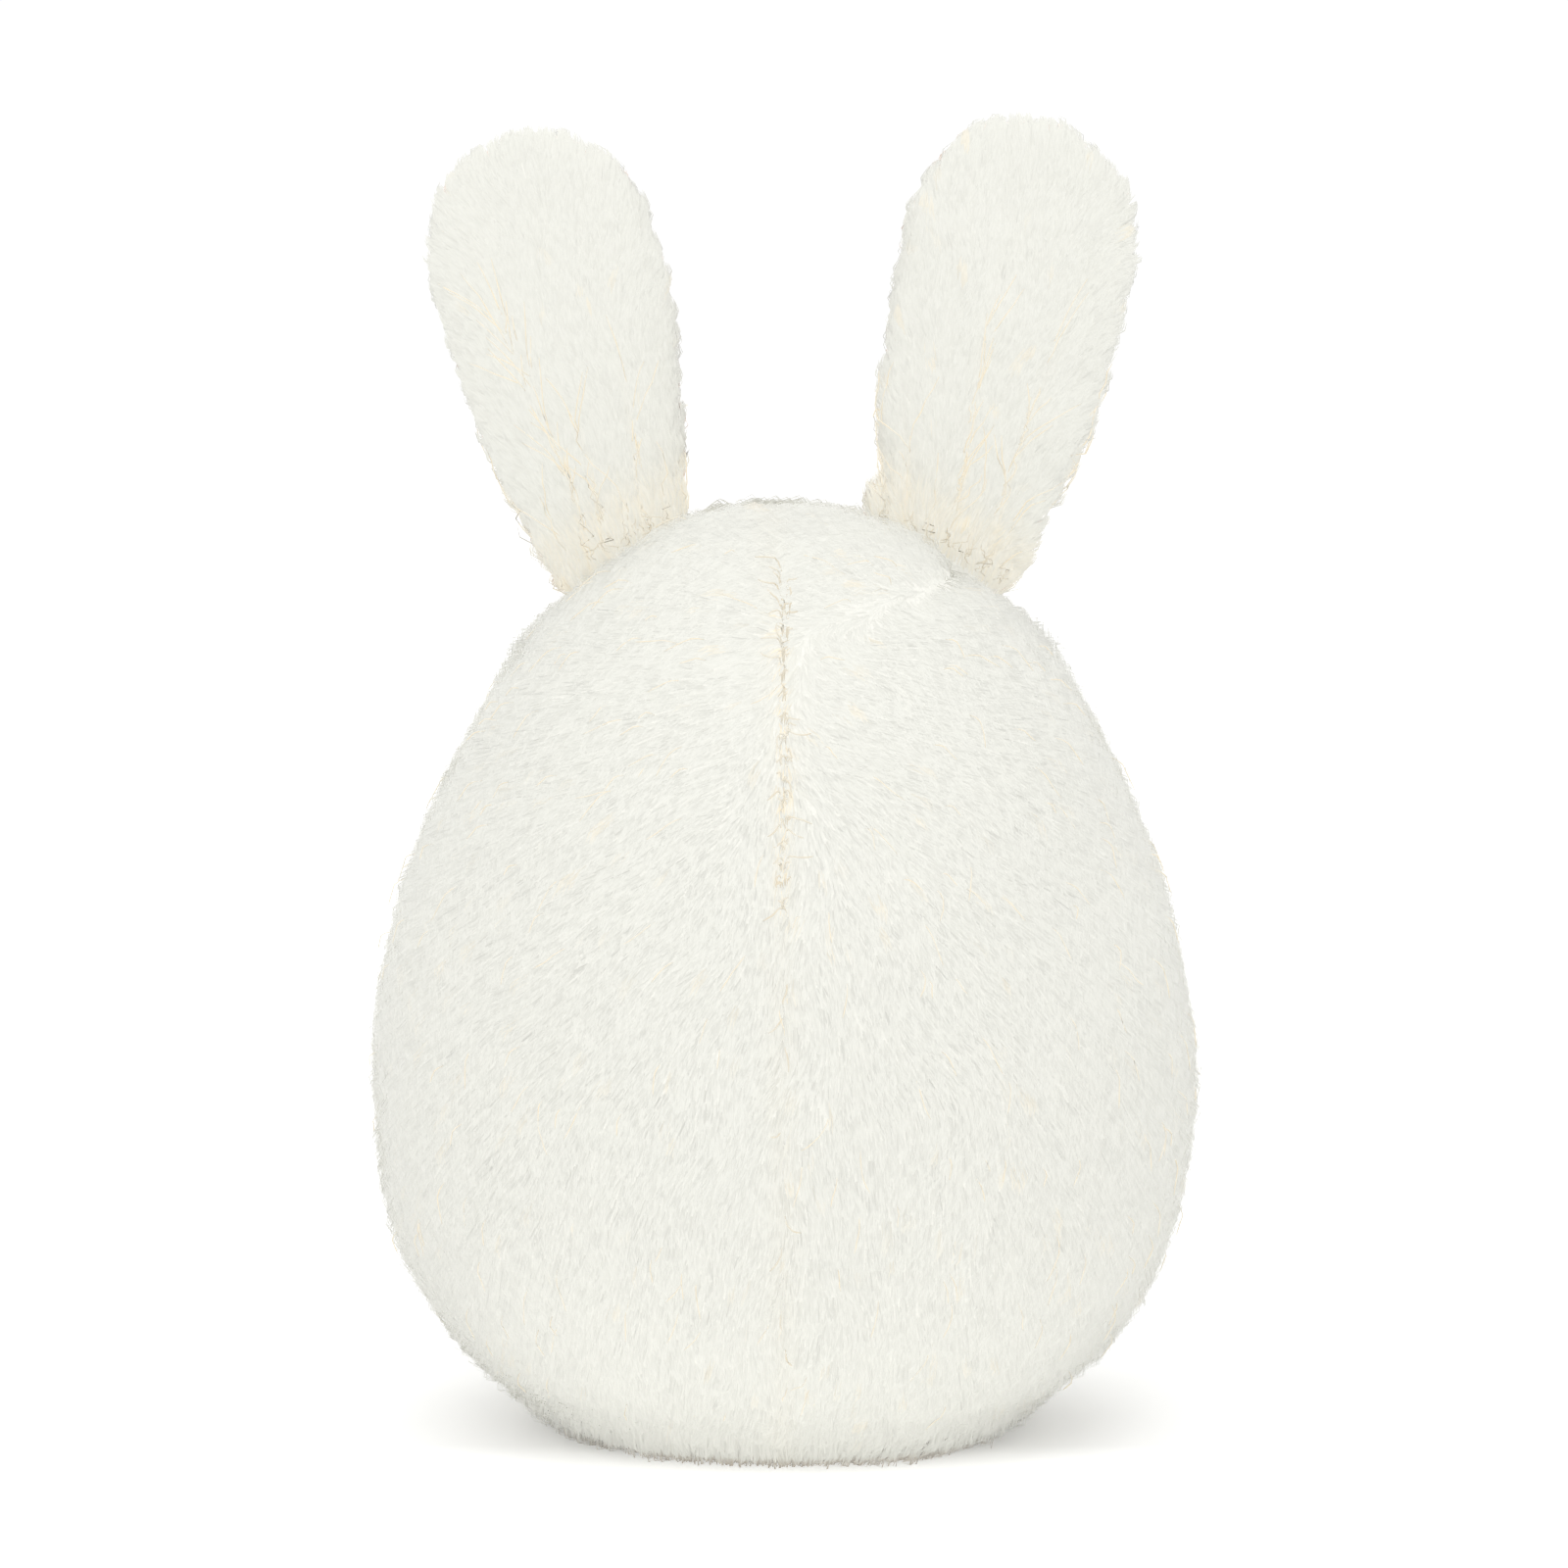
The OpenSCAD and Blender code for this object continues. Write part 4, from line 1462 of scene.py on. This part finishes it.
def twisted_nodes(colour, dark, pitch):
    """Twisted thread: slanting plies with a soft gloss."""

    def build(tree, shader):
        at = place(tree)
        plies = node(tree, "ShaderNodeTexWave", {"Vector": at, "Scale": 1 / pitch / 6, "Distortion": 1.5,
                                                 "Detail": 2.0}, bands_direction="DIAGONAL").outputs["Fac"]
        tone = mix(tree, plies, tuple(dark), tuple(colour))
        tree.links.new(tone, shader.inputs["Base Color"])
        tree.links.new(remap(tree, plies, 0.0, 1.0, 0.75, 0.5), shader.inputs["Roughness"])
        bump(tree, shader, plies, 0.1 * MM)
        set_values(shader, Sheen_Weight=0.3)

    return build


def thread_material():
    c = colours()
    return material("sewing_thread", twisted_nodes(c.thread, [0.75 * v for v in c.thread], 0.5 * MM))


def embroidery_material():
    c = colours()
    return material("embroidery_thread", twisted_nodes(c.pink, [0.86 * v for v in c.pink], 0.6 * MM))


def eye_material():
    def build(tree, shader):
        at = place(tree)
        ring = noise(tree, at, 700.0, 4.0)
        tone = mix(tree, remap(tree, ring, 0.35, 0.7), tuple(colours().eye), (0.03, 0.018, 0.012))
        tree.links.new(tone, shader.inputs["Base Color"])
        tree.links.new(remap(tree, ring, 0.3, 0.8, 0.06, 0.12), shader.inputs["Roughness"])
        set_values(shader, Coat_Weight=0.8, Coat_Roughness=0.03, IOR=1.5)

    return material("polished_eye", build)


def moulded_nodes(colour, transmission):
    def build(tree, shader):
        at = place(tree)
        skin = noise(tree, at, 1400.0, 4.0)
        tone = mix(tree, remap(tree, noise(tree, at, 120.0), 0.3, 0.7), tuple(colour),
                   tuple(0.9 * v for v in colour))
        tree.links.new(tone, shader.inputs["Base Color"])
        tree.links.new(remap(tree, skin, 0.3, 0.7, 0.28, 0.45), shader.inputs["Roughness"])
        bump(tree, shader, skin, 0.02 * MM)
        shader.inputs["Subsurface Weight"].default_value = transmission
        shader.inputs["Subsurface Radius"].default_value = (0.002, 0.002, 0.002)

    return build


def washer_material():
    return material("moulded_washer", moulded_nodes((0.80, 0.79, 0.75), 0.1))


def pellet_material():
    return material("moulded_pellet", moulded_nodes((0.74, 0.78, 0.80), 0.4))


# ---- studio ----


class Studio(bpy.types.Operator):
    """Sets up a white floor, soft lights and the camera behind the bunny"""

    bl_idname = "bunny.studio"
    bl_label = "Studio"

    def execute(self, context):
        scene = bpy.context.scene
        scene.view_settings.view_transform = "Standard"
        scene.view_settings.look = "None"
        world = bpy.data.worlds.new("white_room")
        world.use_nodes = True
        world.node_tree.nodes["Background"].inputs["Color"].default_value = (1.0, 1.0, 1.0, 1.0)
        world.node_tree.nodes["Background"].inputs["Strength"].default_value = 1.04
        scene.world = world

        mesh = mesh_of("floor", [(-4, -4, 0), (4, -4, 0), (4, 4, 0), (-4, 4, 0)], [(0, 1, 2, 3)])
        floor = bpy.data.objects.new("floor", mesh)
        scene.collection.objects.link(floor)
        mesh.materials.append(material("paper_floor", floor_nodes))

        aim = Vector((0, 0, 98 * MM))
        soft_light("key_light", aim + Vector((0.35, 1.3, 1.1)), aim, 0.9, 3.1)
        soft_light("low_light", aim + Vector((0.05, 1.5, -0.05)), aim, 0.5, 0.8)
        soft_light("fill_light", aim + Vector((-1.2, 0.9, 0.35)), aim, 1.1, 0.5)
        soft_light("top_light", aim + Vector((0, 0.1, 1.5)), aim, 1.4, 6.2)
        soft_light("face_light", aim + Vector((0.3, -1.5, 0.8)), aim, 1.0, 2.5)

        data = bpy.data.cameras.new("camera")
        camera = bpy.data.objects.new("camera", data)
        scene.collection.objects.link(camera)
        distance, elevation, frame_w = 0.9, math.radians(6.0), 237.4 * MM
        data.sensor_width = 36.0
        data.lens = data.sensor_width * distance / frame_w
        data.clip_start = 0.01
        camera.location = aim + Vector((0, math.cos(elevation), math.sin(elevation))) * distance
        camera.rotation_mode = "QUATERNION"
        camera.rotation_quaternion = (aim - camera.location).to_track_quat("-Z", "Y")
        scene.camera = camera
        return {"FINISHED"}


def soft_light(name, at, aim, size, power):
    data = bpy.data.lights.new(name, "AREA")
    data.shape = "DISK"
    data.size = size
    data.energy = power
    light = bpy.data.objects.new(name, data)
    bpy.context.scene.collection.objects.link(light)
    light.location = at
    light.rotation_mode = "QUATERNION"
    light.rotation_quaternion = (aim - at).to_track_quat("-Z", "Y")


def floor_nodes(tree, shader):
    """A matt white table top, lit a little from below at its near side."""
    at = place(tree)
    grain = noise(tree, at, 60.0, 5.0)
    tone = mix(tree, grain, (0.88, 0.878, 0.872), (0.90, 0.90, 0.895))
    tree.links.new(tone, shader.inputs["Base Color"])
    away = node(tree, "ShaderNodeVectorMath", {0: at}, operation="LENGTH").outputs["Value"]
    depth = node(tree, "ShaderNodeSeparateXYZ", {"Vector": at}).outputs["Y"]
    far = remap(tree, away, 95 * MM, 260 * MM, 0.03, 0.16)
    front = remap(tree, depth, 18 * MM, 46 * MM, 0.0, 0.37)
    fade = remap(tree, away, 62 * MM, 135 * MM, 1.0, 0.22)
    front = node(tree, "ShaderNodeMath", {0: front, 1: fade}, operation="MULTIPLY").outputs["Value"]
    glow = node(tree, "ShaderNodeMath", {0: far, 1: front}, operation="ADD").outputs["Value"]
    tree.links.new(glow, shader.inputs["Emission Strength"])
    set_values(shader, Roughness=0.9, Specular_IOR_Level=0.1, Emission_Color=(1, 1, 1, 1))


# ---- panel, registration and the run ----

STEPS = (BodyFabric, BodyPile, Ears, Face, Stitching, Filling, Studio)


class BunnyPanel(bpy.types.Panel):
    """Lists the steps of making the bunny, with its sizes and colours"""

    bl_idname = "VIEW3D_PT_plush_bunny"
    bl_label = "Plush bunny"
    bl_space_type = "VIEW_3D"
    bl_region_type = "UI"
    bl_category = "Plush bunny"

    def draw(self, context):
        for step in STEPS:
            self.layout.operator(step.bl_idname)
        for group in GROUPS:
            box = self.layout.box()
            values = getattr(context.scene, group)
            for key in values.__annotations__:
                box.prop(values, key)


def register():
    for group, kind in GROUPS.items():
        bpy.utils.register_class(kind)
        setattr(bpy.types.Scene, group, PointerProperty(type=kind))
    for step in STEPS:
        bpy.utils.register_class(step)
    bpy.utils.register_class(BunnyPanel)


def unregister():
    bpy.utils.unregister_class(BunnyPanel)
    for step in reversed(STEPS):
        bpy.utils.unregister_class(step)
    for group, kind in GROUPS.items():
        delattr(bpy.types.Scene, group)
        bpy.utils.unregister_class(kind)


def main():
    register()
    for step in STEPS:
        area, name = step.bl_idname.split(".")
        getattr(getattr(bpy.ops, area), name)()


if __name__ == "__main__":
    main()
